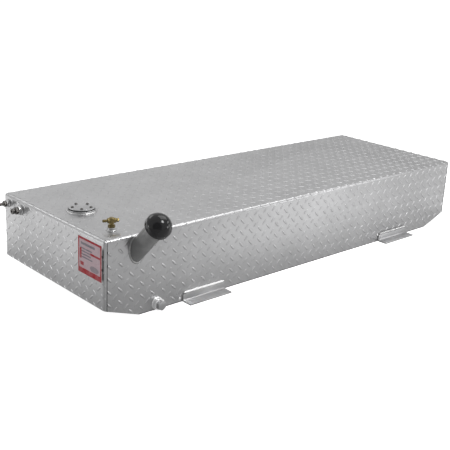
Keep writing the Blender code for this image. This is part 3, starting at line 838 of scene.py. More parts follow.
@dataclass(frozen=True)
class LabelFinish(Finish):
    """Printed film with a coloured border, a pale field and plain bars.

    Attributes:
        border: colour of the border and the accents.
        field_color: colour of the pale field.
        bar: colour of the bars and the oval.
        worn: pale colour of the clouds over all.
        worn_size: size of those clouds.
        worn_share: how strongly they show.
        field_area: left, low, right and high shares of the label that the field fills.
        bars: areas of the bars.
        accents: areas in the border's colour.
        oval: middle and half size of the oval, across and up.
        oval_fade: fade of the oval, by the square of the distance from its middle.
        softness: how far an area's edge is blurred.
    """

    border: Color = (0.42, 0.020, 0.030)
    field_color: Color = (0.62, 0.47, 0.51)
    bar: Color = (0.24, 0.22, 0.25)
    worn: Color = (0.62, 0.60, 0.60)
    worn_size: float = 0.02
    worn_share: float = 0.15
    field_area: Area = (0.05, 0.15, 0.95, 0.94)
    bars: tuple[Area, ...] = (
        (0.12, 0.80, 0.72, 0.87),
        (0.12, 0.68, 0.60, 0.72),
        (0.12, 0.60, 0.66, 0.64),
        (0.12, 0.52, 0.56, 0.56),
        (0.12, 0.44, 0.62, 0.48),
    )
    accents: tuple[Area, ...] = ((0.52, 0.60, 0.94, 0.66), (0.08, 0.40, 0.15, 0.70), (0.10, 0.22, 0.24, 0.32))
    oval: tuple[Pair, Pair] = ((0.70, 0.19), (0.25, 0.085))
    oval_fade: Fade = (0.8, 1.1, (0.75, 0.0))
    softness: float = 0.006

    def color_of(self, graph: Graph) -> bpy.types.NodeSocket:
        """The printed colours.

        Args:
            graph: the material's graph.

        Returns:
            The colour's output.
        """
        _, y, z = graph.axes()
        wide, tall = LABEL_ACROSS[1] - LABEL_ACROSS[0], LABEL_UP[1] - LABEL_UP[0]
        frontward = graph.math("MULTIPLY", y, -1.0)
        across = graph.math("DIVIDE", graph.math("SUBTRACT", frontward, LABEL_ACROSS[0]), wide)
        up = graph.math("DIVIDE", graph.math("SUBTRACT", z, LABEL_UP[0]), tall)

        def inside(low: float, high: float, value: object) -> bpy.types.NodeSocket:
            """One between two shares of the label, and zero outside them."""
            half = (high - low) / 2
            off = graph.off(value, (low + high) / 2)
            return graph.spread(off, half - self.softness, half + self.softness, (1.0, 0.0))

        def painted(under: object, area: Area, paint: Color) -> bpy.types.NodeSocket:
            """A colour with one area painted over."""
            left, low, right, high = area
            share = graph.times(inside(left, right, across), inside(low, high, up))
            return graph.blend(share, under, paint)

        color = painted(self.border, self.field_area, self.field_color)
        for area in self.bars:
            color = painted(color, area, self.bar)
        offs = [
            graph.math("DIVIDE", graph.math("SUBTRACT", value, middle), half)
            for value, (middle, half) in zip((across, up), self.oval)
        ]
        from_oval = graph.math("ADD", *(graph.math("POWER", off, 2.0) for off in offs))
        color = graph.blend(graph.spread(from_oval, *self.oval_fade), color, self.bar)
        for area in self.accents:
            color = painted(color, area, self.border)
        worn = graph.times(graph.clouds(self.worn_size), self.worn_share)
        return graph.blend(worn, color, self.worn)


TREAD = TreadFinish(
    "tread_face", (0.45, 0.45, 0.455), 0.325, 0.84,
    cloud=0.05, cloud_size=0.11, grain=0.000008, drift=0.015,
)
MILL = Finish("mill_aluminium", (0.58, 0.58, 0.59), 0.34, 0.8, lay=(1.0, 12.0, 12.0), grain=0.00002)
PLATE = Finish("rolled_aluminium", (0.44, 0.44, 0.445), 0.36, 0.8, lay=(12.0, 1.0, 12.0), grain=0.00002)
# Near-white weld metal: a lit copy of the plain weld tone in BOSS, its colour a painted highlight, for the
# welds that catch the light.
WELD = Finish("weld_metal", (0.95, 0.95, 0.95), 0.38, 0.55, cloud=0.06, cloud_size=0.006, grain=0.00005)
BOSS = Finish("turned_aluminium", (0.50, 0.50, 0.50), 0.32, 0.85, cloud=0.12, cloud_size=0.006, grain=0.00004)
NECK_WELD = Finish(
    "neck_weld_metal", (0.36, 0.36, 0.36), 0.34, 0.7, cloud=0.15, cloud_size=0.006, grain=0.00006
)
TUBE = Finish("neck_tube", (0.25, 0.25, 0.25), 0.36, 0.6, cloud=0.12, cloud_size=0.03)
GLOSS = Finish(
    "cap_gloss", (0.008, 0.008, 0.009), 0.10, 0.0, cloud=0.1, grain=0.000004, drift=0.03, shine=0.35
)
BRASS = Finish("machined_brass", (0.20, 0.155, 0.065), 0.34, 0.85, cloud=0.15, cloud_size=0.008)
STEEL = Finish("oxide_steel", (0.11, 0.105, 0.10), 0.32, 0.8, cloud=0.2, cloud_size=0.006)
RUBBER = Finish("seal_rubber", (0.02, 0.02, 0.02), 0.7, 0.0, cloud=0.1, grain=0.00005)
INK = LabelFinish("label_print", (0.8, 0.7, 0.7), 0.45, 0.0, grain=0.00002, shine=0.12)


def dress(
    piece: Piece, finish: Finish, slot: Slot, *nodes: str, body: Body = Body.TANK, angle: float = 32
) -> Piece:
    """Shades a finished piece, gives it its material and puts it on its body.

    Args:
        piece: the finished piece.
        finish: its surface.
        slot: the record's slot that the finish belongs to; not used.
        nodes: CAD nodes that it stands for.
        body: the body that it rides on.
        angle: edges that turn more than this, in degrees, stay crisp.

    Returns:
        The same piece.
    """
    focus(piece)
    bpy.ops.object.shade_smooth_by_angle(angle=math.radians(angle))
    piece.data.materials.clear()
    piece.data.materials.append(finish.make())
    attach(piece, body.value)
    if nodes:
        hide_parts(*nodes)
    log.info("%s: %d faces", piece.name, len(piece.data.polygons))
    return piece


def fold(along: np.ndarray, height: np.ndarray, flat: float) -> tuple[np.ndarray, np.ndarray]:
    """Lays a flat pattern over a bend.

    Args:
        along: distance from the middle of the face.
        height: distance out from the sheet.
        flat: distance at which the bend starts.

    Returns:
        The places across and out, from the face before its bend.
    """
    past = np.maximum(np.abs(along) - flat, 0)
    angle = np.minimum(past / BEND_RADIUS, QUARTER)
    straight = past - angle * BEND_RADIUS
    reach = BEND_RADIUS + height
    across = np.minimum(np.abs(along), flat) + reach * np.sin(angle)
    out = -BEND_RADIUS + reach * np.cos(angle) - straight * np.sin(angle)
    return np.sign(along) * across, out


@dataclass
class LugField:
    """Raised lugs in two crossed directions over one face of the sheet.

    Attributes:
        name: the piece's name.
        low: lowest place across and up in the flat sheet.
        high: highest place across and up.
        phase: place of one falling lug.
        keep: tells by its centre whether a lug stays.
        trims: points and outward directions of the lines that cut the sheet.
        laid: takes places in the flat sheet to places on the tank.
        heights: share of the full height of the falling and of the rising lugs.
    """

    name: str
    low: Pair
    high: Pair
    phase: Pair
    keep: Callable[[float, float], bool]
    trims: list[tuple[Pair, Pair]]
    laid: Callable[[np.ndarray], np.ndarray]
    heights: Pair = (1.0, 1.0)

    def lug(self, lean: float, start: Pair) -> Piece:
        """One lug: a long low oval drawn in three times towards its crest.

        Args:
            lean: turn of its long side in the flat sheet.
            start: its place across and up.

        Returns:
            The lug.
        """
        bpy.ops.mesh.primitive_circle_add(
            vertices=LUG_SIDES, radius=0.5, fill_type="NGON", location=(0, 0, -LUG_SINK)
        )
        lug = taken("lug")
        rise = LUG_HEIGHT * self.heights[0 if lean < 0 else 1] + LUG_SINK
        steps = [(bpy.ops.transform.resize, {"value": (LUG_LENGTH, LUG_WIDTH, 1)})]
        for share, shrink in LUG_STEPS:
            lift = {"TRANSFORM_OT_translate": {"value": (0, 0, rise * share)}}
            steps += [(bpy.ops.mesh.extrude_region_move, lift), (bpy.ops.transform.resize, {"value": shrink})]
        edit(lug, Part.FACE, anywhere, *steps)
        return place(lug, Vector((*start, 0)), (0, 0, lean))

    def rows(self, lean: float, phase: Pair) -> Piece:
        """All the lugs that lean one way.

        Args:
            lean: turn of their long side in the flat sheet.
            phase: place of one of them.

        Returns:
            The lugs that stay, in one piece.
        """
        first = [low + (at - low) % LUG_PITCH for at, low in zip(phase, self.low)]
        counts = [int((high - at) // LUG_PITCH) + 1 for at, high in zip(first, self.high)]
        lugs = self.lug(lean, tuple(first))
        corners = len(lugs.data.vertices)
        for count, step in zip(counts, ((LUG_PITCH, 0, 0), (0, LUG_PITCH, 0))):
            modify(
                lugs, "ARRAY", count=count, use_relative_offset=False,
                use_constant_offset=True, constant_offset_displace=step,
            )
        centres = points_of(lugs).reshape(-1, corners, 3).mean(axis=1)
        doomed = np.array([not self.keep(x, y) for x, y, _ in centres])
        edit(lugs, Part.VERTEX, lambda _place, _normal: False)
        lugs.data.vertices.foreach_set("select", np.repeat(doomed, corners))
        bpy.ops.object.mode_set(mode="EDIT")
        bpy.ops.mesh.delete(type="VERT")
        bpy.ops.object.mode_set(mode="OBJECT")
        return lugs

    def build(self) -> Piece:
        """Both directions, cut at the sheet's edges and laid over its bends.

        Returns:
            The finished lugs.
        """
        half = LUG_PITCH / 2
        falling = self.rows(-QUARTER / 2, self.phase)
        rising = self.rows(QUARTER / 2, (self.phase[0] + half, self.phase[1] - half))
        lugs = fuse(self.name, [falling, rising])
        for point, outward in self.trims:
            settings = {
                "plane_co": (*point, 0), "plane_no": (*outward, 0),
                "use_fill": True, "clear_outer": True, "threshold": 0.000001,
            }
            edit(lugs, Part.VERTEX, anywhere, (bpy.ops.mesh.bisect, settings))
        put_points(lugs, self.laid(points_of(lugs)))
        edit(lugs, Part.FACE, anywhere, OUTWARD)
        return dress(lugs, TREAD, Slot.TREAD, angle=50)


def points_of(piece: Piece) -> np.ndarray:
    """Corners of a mesh as rows.

    Args:
        piece: the piece to read.

    Returns:
        One row of x, y and z for each corner.
    """
    points = np.zeros(len(piece.data.vertices) * 3)
    piece.data.vertices.foreach_get("co", points)
    return points.reshape(-1, 3)


def put_points(piece: Piece, points: np.ndarray) -> None:
    """Moves the corners of a mesh."""
    piece.data.vertices.foreach_set("co", points.ravel())
    piece.data.update()


def apart(point: Pair, centre: Pair, reach: Pair) -> bool:
    """Whether a point is outside an oval."""
    return ((point[0] - centre[0]) / reach[0]) ** 2 + ((point[1] - centre[1]) / reach[1]) ** 2 > 1


@dataclass
class Shell:
    """The folded sheets, their lugs, and the finish of the CAD pieces that keep their shape.

    Attributes:
        neck_drill: how far the neck's drill reaches either way.
        port_hole: radius of the hole under the port.
        vent_hole: radius of the hole under the vent.
        drain_hole: radius of the hole behind the drain.
        outlet_hole: radius of the hole behind the outlet.
        return_hole: radius of the hole behind the return.
        seam_margin: how far the wrap's lugs stay off its ends.
        foot_margin: how far all lugs stay off the lower edges.
        lip_margin: how far an end's lugs stay off its lips' edges.
        corner_margin: how far an end's lugs stay off its upper corners.
        label_margin: width of the plain sheet round the label.
        wrap_phase: place of one falling lug of the wrap.
        front_heights: share of the full height of the front's falling and rising lugs.
        top_heights: share of the full height of the top's falling and rising lugs.
        neck_room: half sizes of the oval without lugs round the neck's foot.
        drain_room: radius without lugs round the drain.
        port_room: radius without lugs round the port.
        vent_room: radius without lugs round the vent.
        outlet_room: radius without lugs round the outlet.
        return_room: radius without lugs round the return.
    """

    neck_drill: float = 0.05
    port_hole: float = 0.021
    vent_hole: float = 0.0058
    drain_hole: float = 0.0105
    outlet_hole: float = 0.0050
    return_hole: float = 0.0027
    seam_margin: float = 0.0012
    foot_margin: float = 0.0015
    lip_margin: float = 0.0008
    corner_margin: float = 0.004
    label_margin: float = 0.002
    wrap_phase: Pair = (LEFT + 0.0147, -0.00257)
    front_heights: Pair = (1.3, 0.65)
    top_heights: Pair = (0.7, 0.7)
    neck_room: Pair = (0.031, 0.044)
    drain_room: float = 0.021
    port_room: float = 0.044
    vent_room: float = 0.017
    outlet_room: float = 0.018
    return_room: float = 0.015

    def slanted(self, sheet: Piece, end: int) -> None:
        """Cuts a lower corner off at a slant.

        Args:
            sheet: the sheet that is cut.
            end: -1 for the left end, 1 for the right.
        """
        reach, depth = LENGTH / 4, HEIGHT
        wedge = block("wedge", Vector((-reach, -WIDTH, -depth)), Vector((reach, WIDTH, 0)))
        middle = Vector((end * (LENGTH / 2 - CHAMFER_RUN / 2), 0, CHAMFER_RISE / 2))
        place(wedge, middle, (0, -end * math.atan2(CHAMFER_RISE, CHAMFER_RUN), 0))
        combine(sheet, wedge)

    def drilled(
        self, sheet: Piece, radius: float, centre: Vector, turn: Turn, reach: float = 4 * SHEET
    ) -> None:
        """Bores a hole that reaches as far on both sides of a point."""
        combine(sheet, place(drum("drill", radius, -reach, reach), centre, turn))

    def build_wrap(self) -> None:
        """Front, top and back in one sheet."""
        edge = END_FOLD + SEAT / 2
        low, high = Vector((LEFT + edge, FRONT, 0)), Vector((RIGHT - edge, BACK, HEIGHT))
        openings = ((0, 0, -1), (-1, 0, 0), (1, 0, 0))
        wrap = folded_sheet("tread_wrap", low, high, openings, BEND_RADIUS, SHEET, SEAM_BEVEL)
        for end in (-1, 1):
            self.slanted(wrap, end)
        self.drilled(wrap, NECK_BORE, NECK_FOOT, (NECK_TILT, 0, 0), self.neck_drill)
        self.drilled(wrap, self.port_hole, PORT_PLACE, UPRIGHT)
        self.drilled(wrap, self.vent_hole, VENT_PLACE, UPRIGHT)
        self.drilled(wrap, self.drain_hole, DRAIN_PLACE, OUT_FRONT)
        dress(wrap, TREAD, Slot.TREAD, "wrap_sheet")

    def build_end(self, side: str, end: int) -> None:
        """End panel with its lips folded over the front, back and top.

        Args:
            side: the end's name.
            end: -1 for the left end, 1 for the right.
        """
        xs = sorted((end * LENGTH / 2, end * (LENGTH / 2 - END_FOLD + SEAT / 2)))
        low, high = Vector((xs[0], FRONT, 0)), Vector((xs[1], BACK, HEIGHT))
        openings = ((0, 0, -1), (-end, 0, 0))
        panel = folded_sheet(f"tread_{side}_end", low, high, openings, BEND_RADIUS, SHEET, SEAM_BEVEL)
        self.slanted(panel, end)
        if end < 0:
            self.drilled(panel, self.outlet_hole, OUTLET_PLACE, OUT_LEFT)
            self.drilled(panel, self.return_hole, RETURN_PLACE, OUT_LEFT)
        dress(panel, TREAD, Slot.TREAD, f"{side}_end_cap")

    def wrap_lugs(self) -> None:
        """Lugs of the wrap, in three pieces."""
        start, stop = LEFT + END_FOLD + self.seam_margin, RIGHT - END_FOLD - self.seam_margin
        bottom = WRAP_REACH - self.foot_margin
        slope = Vector((CHAMFER_RISE, CHAMFER_RUN)).normalized()
        trims = [((start, 0), (-1, 0)), ((stop, 0), (1, 0)), ((0, -bottom), (0, -1)), ((0, bottom), (0, 1))]
        for end in (-1, 1):
            for face in (-1, 1):
                corner = (end * LENGTH / 2, face * (WRAP_REACH - CHAMFER_RISE - self.foot_margin))
                trims.append((corner, (end * slope.x, face * slope.y)))

        def laid(points: np.ndarray) -> np.ndarray:
            """Folds flat places down the front and the back."""
            across, out = fold(points[:, 1], points[:, 2], FLAT_TOP)
            return np.column_stack((points[:, 0], across, HEIGHT + out))

        def clear_front(x: float, s: float) -> bool:
            """Whether a lug is off the neck and the drain."""
            point = (x, WRAP_REACH - abs(s))
            neck = apart(point, (NECK_FOOT.x, NECK_FOOT.z), self.neck_room)
            return neck and apart(point, (DRAIN_PLACE.x, DRAIN_PLACE.z), (self.drain_room, self.drain_room))

        def clear_top(x: float, s: float) -> bool:
            """Whether a lug is off the port and the vent."""
            port = apart((x, s), (PORT_PLACE.x, PORT_PLACE.y), (self.port_room, self.port_room))
            return port and apart((x, s), (VENT_PLACE.x, VENT_PLACE.y), (self.vent_room, self.vent_room))

        bend = FLAT_TOP + QUARTER * BEND_RADIUS / 2
        ranges = {
            "front_lugs": ((-WRAP_REACH - LUG_PITCH / 2, -bend), clear_front, self.front_heights),
            "top_lugs": ((-bend, bend), clear_top, self.top_heights),
            "back_lugs": ((bend, WRAP_REACH + LUG_PITCH / 2), lambda _x, _s: True, (1.0, 1.0)),
        }
        for name, ((low, high), keep, heights) in ranges.items():
            LugField(name, (LEFT, low), (RIGHT, high), self.wrap_phase, keep, trims, laid, heights).build()

    def end_lugs(self, side: str, end: int) -> None:
        """Lugs of one end panel, running over its lips.

        Args:
            side: the end's name.
            end: -1 for the left end, 1 for the right.
        """
        lip = QUARTER * BEND_RADIUS + END_FOLD - BEND_RADIUS - self.lip_margin
        half, top, bottom = FLAT_TOP + lip, FLAT_SIDE + lip, CHAMFER_RISE + self.foot_margin
        trims = [((-half, 0), (-1, 0)), ((half, 0), (1, 0)), ((0, top), (0, 1)), ((0, bottom), (0, -1))]

        def laid(points: np.ndarray) -> np.ndarray:
            """Folds flat places over the top lip and then over the side lips."""
            up, out = fold(points[:, 1], points[:, 2], FLAT_SIDE)
            across, out = fold(points[:, 0], out, FLAT_TOP)
            return np.column_stack((end * (LENGTH / 2 + out), end * across, up))

        def clear(u: float, v: float) -> bool:
            """Whether a lug is off the upper corners and the fittings."""
            if abs(u) > FLAT_TOP - self.corner_margin and v > FLAT_SIDE - self.corner_margin:
                return False
            if end > 0:
                return True
            outlet = apart((-u, v), (OUTLET_PLACE.y, OUTLET_PLACE.z), (self.outlet_room, self.outlet_room))
            fitting = apart((-u, v), (RETURN_PLACE.y, RETURN_PLACE.z), (self.return_room, self.return_room))
            return outlet and fitting

        reach = LUG_PITCH / 2
        lugs = LugField(
            f"{side}_end_lugs", (-half - reach, bottom - reach), (half + reach, top + reach),
            (0.0, END_LUG_UP + LUG_PITCH / 2), clear, trims, laid,
        )
        piece = lugs.build()
        if end < 0:
            room = self.label_margin
            low = Vector((LEFT - 2 * LUG_HEIGHT, -LABEL_ACROSS[1] - room, LABEL_UP[0] - room))
            high = Vector((LEFT + 2 * LUG_SINK, -LABEL_ACROSS[0] + room, LABEL_UP[1] + room))
            combine(piece, block("label_room", low, high))

    def repaint(self) -> None:
        """Finishes of the CAD pieces that keep their shape."""
        plain = dict.fromkeys(("bottom_sheet", "baffle_left", "baffle_right", "draw_tube"), MILL)
        for name, finish in {**plain, "cap_gasket": RUBBER}.items():
            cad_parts[name].material_slots[0].material = finish.make()

    def build(self) -> None:
        """Builds the ends, the wrap and all lugs."""
        self.build_wrap()
        for side, end in (("left", -1), ("right", 1)):
            self.build_end(side, end)
            self.end_lugs(side, end)
        self.wrap_lugs()
        self.repaint()


@dataclass
class Label:
    """Printed film on the left end, drawn down over the lugs.

    Attributes:
        film: distance of the film's face from the sheet.
        filled: share of that distance that the film itself fills.
        fade: width of the flat edge over which the lugs under the film fade.
        cells: squares of the film's mesh along each side.
        drape: how far a lug lifts the film past its own half length and half width.
    """

    film: float = 0.00035
    filled: float = 0.8
    fade: float = 0.008
    cells: int = 54
    drape: Pair = (0.002, 0.0025)

    def lug_height(self, across: float, up: float) -> float:
        """How far the film is pushed out at a point by the lugs under it.

        Args:
            across: place towards the front.
            up: height over the floor.

        Returns:
            The distance out of the sheet.
        """
        best = 0.0
        half = LUG_PITCH / 2
        for lean, (u, v) in ((-1, (0.0, END_LUG_UP + half)), (1, (half, END_LUG_UP))):
            du = (across - u + half) % LUG_PITCH - half
            dv = (up - v + half) % LUG_PITCH - half
            along = (du + lean * dv) / math.sqrt(2)
            beside = (du - lean * dv) / math.sqrt(2)
            long, wide = LUG_LENGTH / 2 + self.drape[0], LUG_WIDTH / 2 + self.drape[1]
            rise = max(0.0, 1 - math.hypot(along / long, beside / wide))
            best = max(best, LUG_HEIGHT * rise * rise * (3 - 2 * rise))
        edges = (across - LABEL_ACROSS[0], LABEL_ACROSS[1] - across, up - LABEL_UP[0], LABEL_UP[1] - up)
        return best * min(1.0, max(0.0, min(edges)) / self.fade)

    def build(self) -> None:
        """Builds the film from a grid."""
        wide, tall = LABEL_ACROSS[1] - LABEL_ACROSS[0], LABEL_UP[1] - LABEL_UP[0]
        bpy.ops.mesh.primitive_grid_add(x_subdivisions=self.cells, y_subdivisions=self.cells, size=1)
        film = taken("label_film")
        flat = points_of(film)
        across = LABEL_ACROSS[0] + (flat[:, 0] + 0.5) * wide
        up = LABEL_UP[0] + (flat[:, 1] + 0.5) * tall
        out = np.array([self.film + self.lug_height(u, v) for u, v in zip(across, up)])
        put_points(film, np.column_stack((LEFT - out, -across, up)))
        modify(film, "SOLIDIFY", thickness=self.film * self.filled, offset=-1)
        edit(film, Part.FACE, anywhere, OUTWARD)
        dress(film, INK, Slot.TREAD)


@dataclass
class Filler:
    """Slanted neck with its weld, and the glossy cap.

    Attributes:
        edge: bevel of the neck's mouth.
        threads: thread grooves near the mouth.
        first_groove: depth of the first groove below the mouth.
        groove: depths of a groove's other three corners below its upper one.
        bead_gap: distance of the weld's middle from the tube.
        bead_radius: radius of the weld.
        bead_ripples: ripples round the weld.
        wall: the cap's wall.
        skirt: height of the cap's skirt.
        rise: height of the dome over the skirt.
        collar_gap: distance of the inner collar from the neck.
        collar_wall: wall of the collar.
        collar_depth: height of the collar.
        ledge: inner radius of the ledge that holds the seal.
        hollow: heights of the hollow's rim and of its top over the ledge.
    """

    edge: float = 0.0005
    threads: int = 3
    first_groove: float = 0.0025
    groove: Point = (0.0008, 0.0018, 0.0026)
    bead_gap: float = 0.0008
    bead_radius: float = 0.0024
    bead_ripples: int = 34
    wall: float = 0.003
    skirt: float = 0.0150
    rise: float = 0.026
    collar_gap: float = 0.0006
    collar_wall: float = 0.0028
    collar_depth: float = 0.0110
    ledge: float = 0.0185
    hollow: Pair = (0.0015, 0.0245)

    def at(self, piece: Piece, along: float) -> Piece:
        """Puts a piece on the neck's axis, a given distance from the front."""
        direction = Vector((0, -math.sin(NECK_TILT), math.cos(NECK_TILT)))
        return place(piece, NECK_FOOT + direction * along, (NECK_TILT, 0, 0))

    def build_neck(self) -> None:
        """Tube with thread grooves near its mouth, cut off at the front, and its weld."""
        edge, mouth, root = self.edge, NECK_LENGTH, NECK_RADIUS - NECK_THREAD_DEPTH
        outline = [(NECK_BORE + edge, mouth), (NECK_RADIUS - edge, mouth), (NECK_RADIUS, mouth - edge)]
        for turn in range(self.threads):
            crest = mouth - self.first_groove - turn * NECK_THREAD_PITCH
            high, low, end = (crest - depth for depth in self.groove)
            outline += [(NECK_RADIUS, crest), (root, high), (root, low), (NECK_RADIUS, end)]
        foot = -2 * NECK_RADIUS
        outline += [(NECK_RADIUS, foot), (NECK_BORE, foot), (NECK_BORE, mouth - edge)]
        neck = self.at(turned("neck_tube", outline, 96), 0)
        combine(neck, self.behind())
        dress(neck, TUBE, Slot.TUBE, "filler_neck")

        bead = ring_bead("neck_bead", NECK_RADIUS + self.bead_gap, self.bead_radius, self.bead_ripples)
        stretch = (1, 1 / math.sin(NECK_TILT), 1)
        edit(bead, Part.VERTEX, anywhere, (bpy.ops.transform.resize, {"value": stretch}))
        place(bead, NECK_FOOT, OUT_FRONT)
        combine(bead, self.behind())
        dress(bead, NECK_WELD, Slot.WELD, "neck_weld", angle=60)

    def behind(self) -> Piece:
        """All that lies behind the front and its top bend, to cut with.

        Returns:
            A block with its upper front edge rounded.
        """
        reach = 4 * NECK_RADIUS
        low = Vector((NECK_FOOT.x - reach, FRONT - SEAT, 0))
        room = block("behind", low, Vector((NECK_FOOT.x + reach, FRONT + reach, HEIGHT + SEAT)))
        bend = {"offset": BEND_RADIUS + SEAT, "segments": 8, "affect": "EDGES"}

        def top_front(middle: Vector, _direction: Vector) -> bool:
            """Picks the block's upper front edge."""
            return middle.z > HEIGHT and middle.y < FRONT

        return edit(room, Part.EDGE, top_front, (bpy.ops.mesh.bevel, bend))

    def build_cap(self) -> None:
        """Round knob of a cap with a plain skirt, an inner collar and a hollow over the mouth."""
        ceiling = CAP_GASKET + 2 * SEAT
        shoulder = ceiling + self.wall
        foot = shoulder - self.skirt
        skirt, collar = CAP_RADIUS - self.wall, NECK_RADIUS + self.collar_gap
        out, tip = collar + self.collar_wall, ceiling - self.collar_depth
        outline = [
            *dome(CAP_RADIUS - 0.0003, shoulder, shoulder + self.rise, 26),
            (CAP_RADIUS - 0.0003, shoulder - 0.0004),
            (CAP_RADIUS, shoulder - 0.0008),
            (CAP_RADIUS, foot + 0.0010),
            *arc((CAP_RADIUS - 0.0010, foot + 0.0010), 0.0010, -20, -90, 3),
            (skirt + 0.0004, foot),
            (skirt, foot + 0.0004),
            (skirt, ceiling),
            (out, ceiling),
            (out, tip + 0.0004),
            (out - 0.0004, tip),
            (collar + 0.0004, tip),
            (collar, tip + 0.0004),
            (collar, ceiling),
            (self.ledge, ceiling),
            *reversed(dome(self.ledge, ceiling + self.hollow[0], ceiling + self.hollow[1], 10)),
        ]
        cap = self.at(turned("gloss_cap", outline, 128), NECK_LENGTH)
        dress(cap, GLOSS, Slot.CAP, "filler_cap", body=Body.CAP)

    def build(self) -> None:
        """Builds the neck and the cap."""
        self.build_neck()
        self.build_cap()


@dataclass
class Port:
    """Round gauge port: ring, weld, seal, blank cover and five screws with sockets.

    Attributes:
        bore: radius of the hole through the ring and the seal.
        ring_radius: radius of the ring.
        ring_height: height of the ring.
        bead_circle: radius of the circle that the weld follows.
        bead_radius: radius of the weld.
        bead_ripples: ripples round the weld.
        seal_radius: radius of the seal.
        seal_swell: how far the seal's edge swells.
        seal_height: thickness of the seal.
        cover_radius: radius of the cover.
        cover_height: thickness of the cover.
        edge: bevel of the ring and the cover.
        facets: facets round the port.
        screws: number of screws.
        screw_circle: radius of the circle of screws.
        first_turn: angle of the first screw.
        socket_turn: turn of a socket, as a multiple of its screw's angle.
        head_radius: radius of a screw's head.
        head_rim: height of the head's straight rim.
        head_height: height of the head.
        shank_radius: radius of a screw's shank.
        shank_length: length of the shank.
        socket_radius: radius of the socket over its corners.
        socket_floor: height of the socket's floor.
    """

    bore: float = 0.021
    ring_radius: float = 0.040
    ring_height: float = 0.0064
    bead_circle: float = 0.0405
    bead_radius: float = 0.0030
    bead_ripples: int = 40
    seal_radius: float = 0.0370
    seal_swell: float = 0.0003
    seal_height: float = 0.0018
    cover_radius: float = 0.038
    cover_height: float = 0.0028
    edge: float = 0.0006
    facets: int = 96
    screws: int = 5
    screw_circle: float = 0.027
    first_turn: float = math.radians(21)
    socket_turn: float = 1.7
    head_radius: float = 0.0044
    head_rim: float = 0.0012
    head_height: float = 0.0028
    shank_radius: float = 0.0024
    shank_length: float = 0.0112
    socket_radius: float = 0.0017
    socket_floor: float = 0.0014

    def build(self) -> None:
        """Builds the port from its ring up to the screws."""
        base = PORT_PLACE + Vector((0, 0, SEAT))
        self.build_ring(base)
        seal_foot = self.ring_height + SEAT
        self.build_seal(base + Vector((0, 0, seal_foot)))
        cover_foot = seal_foot + self.seal_height + SEAT
        self.build_cover(base + Vector((0, 0, cover_foot)))
        self.build_screws(base + Vector((0, 0, cover_foot + self.cover_height + SEAT)))

    def build_ring(self, base: Vector) -> None:
        """Ring on the top sheet, with its weld.

        Args:
            base: middle of the ring's underside.
        """
        edge, rim, top = self.edge, self.ring_radius, self.ring_height
        ring = turned("port_flange", [
            (self.bore + edge, top), (rim - edge, top), (rim, top - edge),
            (rim, 0), (self.bore, 0), (self.bore, top - edge),
        ], self.facets)
        dress(place(ring, base), PLATE, Slot.PLAIN, "port_ring")
        bead = ring_bead("port_bead", self.bead_circle, self.bead_radius, self.bead_ripples)
        dress(place(bead, base), BOSS, Slot.WELD, "port_weld", angle=60)

    def build_seal(self, foot: Vector) -> None:
        """Seal whose edge swells a little.

        Args:
            foot: middle of the seal's underside.
        """
        seal = turned("port_seal", [
            (self.bore, self.seal_height), (self.seal_radius, self.seal_height),
            (self.seal_radius + self.seal_swell, self.seal_height / 2), (self.seal_radius, 0), (self.bore, 0),
        ], self.facets)
        dress(place(seal, foot), RUBBER, Slot.RUBBER, "port_gasket")

    def build_cover(self, foot: Vector) -> None:
        """Blank cover with a rounded rim.

        Args:
            foot: middle of the cover's underside.
        """
        inner, top = self.cover_radius - self.edge, self.cover_height
        cover = turned("port_plate", [
            (0, top), (inner, top), *arc((inner, top - self.edge), self.edge, 70, 0, 3),
            (self.cover_radius, self.edge), (inner, 0), (0, 0),
        ], self.facets)
        dress(place(cover, foot), PLATE, Slot.PLAIN, "port_cover")

    def build_screws(self, seat: Vector) -> None:
        """Five copies of one screw.

        Args:
            seat: middle of the plane that the heads stand on.
        """
        first = self.screw()
        for i in range(self.screws):
            turn = self.first_turn + 2 * math.pi * i / self.screws
            off = Vector((math.cos(turn), math.sin(turn), 0)) * self.screw_circle
            screw = copied(first, f"cover_screw_{i + 1}")
            place(screw, seat + off, (0, 0, turn * self.socket_turn))
            dress(screw, STEEL, Slot.STEEL, f"port_screw_{i + 1}")
        bpy.data.objects.remove(first)

    def screw(self) -> Piece:
        """A button head screw with a hexagon socket, standing on its head's seat.

        Returns:
            The screw at the origin.
        """
        head, shank, foot = self.head_radius, self.shank_radius, -self.shank_length
        screw = turned("screw", [
            *dome(head, self.head_rim, self.head_height, 6), (head, 0.0003), (head - 0.0003, 0), (shank, 0),
            (shank, foot + 0.0004), (shank - 0.0004, foot), (0, foot),
        ], 32)
        return combine(screw, drum("socket", self.socket_radius, self.socket_floor, 0.004, 6))


@dataclass(frozen=True)
class Bung:
    """A turned weld bung: a flared foot, a plain collar and a threaded mouth.

    Attributes:
        radius: radius of the foot.
        height: the whole height.
        bore: radius of the threaded mouth.
        depth: depth of the thread.
        throat: radius of the hole under the thread.
        flare: how far the foot stands out of the collar.
        edge: rounding of the collar's top.
        mouth: bevel of the mouth.
    """

    radius: float
    height: float
    bore: float
    depth: float
    throat: float
    flare: float = 0.0016
    edge: float = 0.0006
    mouth: float = 0.0005

    def outline(self) -> list:
        """The bung's outline, for turning about its axis.

        Returns:
            Points down the outer side and up the bore.
        """
        neck, top, shelf = self.radius - self.flare, self.height, self.height - self.depth
        rounding = arc((neck - self.edge, top - self.edge), self.edge, 60, 0, 2)
        hollow = arc((neck + 0.0012, 0.0034), 0.0012, 180, 235, 3)
        return [
            (neck - self.edge, top), *rounding, (neck, 0.0036), *hollow, (self.radius, 0.0012),
            (self.radius, 0), (self.throat, 0), (self.throat, shelf), (self.bore, shelf),
            (self.bore, top - self.mouth), (self.bore + self.mouth, top),
        ]

    def build(
        self, name: str, node: str, location: Vector, turn: Turn = UPRIGHT, finish: Finish = BOSS
    ) -> None:
        """Builds the bung at its place."""
        dress(place(turned(name, self.outline()), location, turn), finish, Slot.WELD, node)


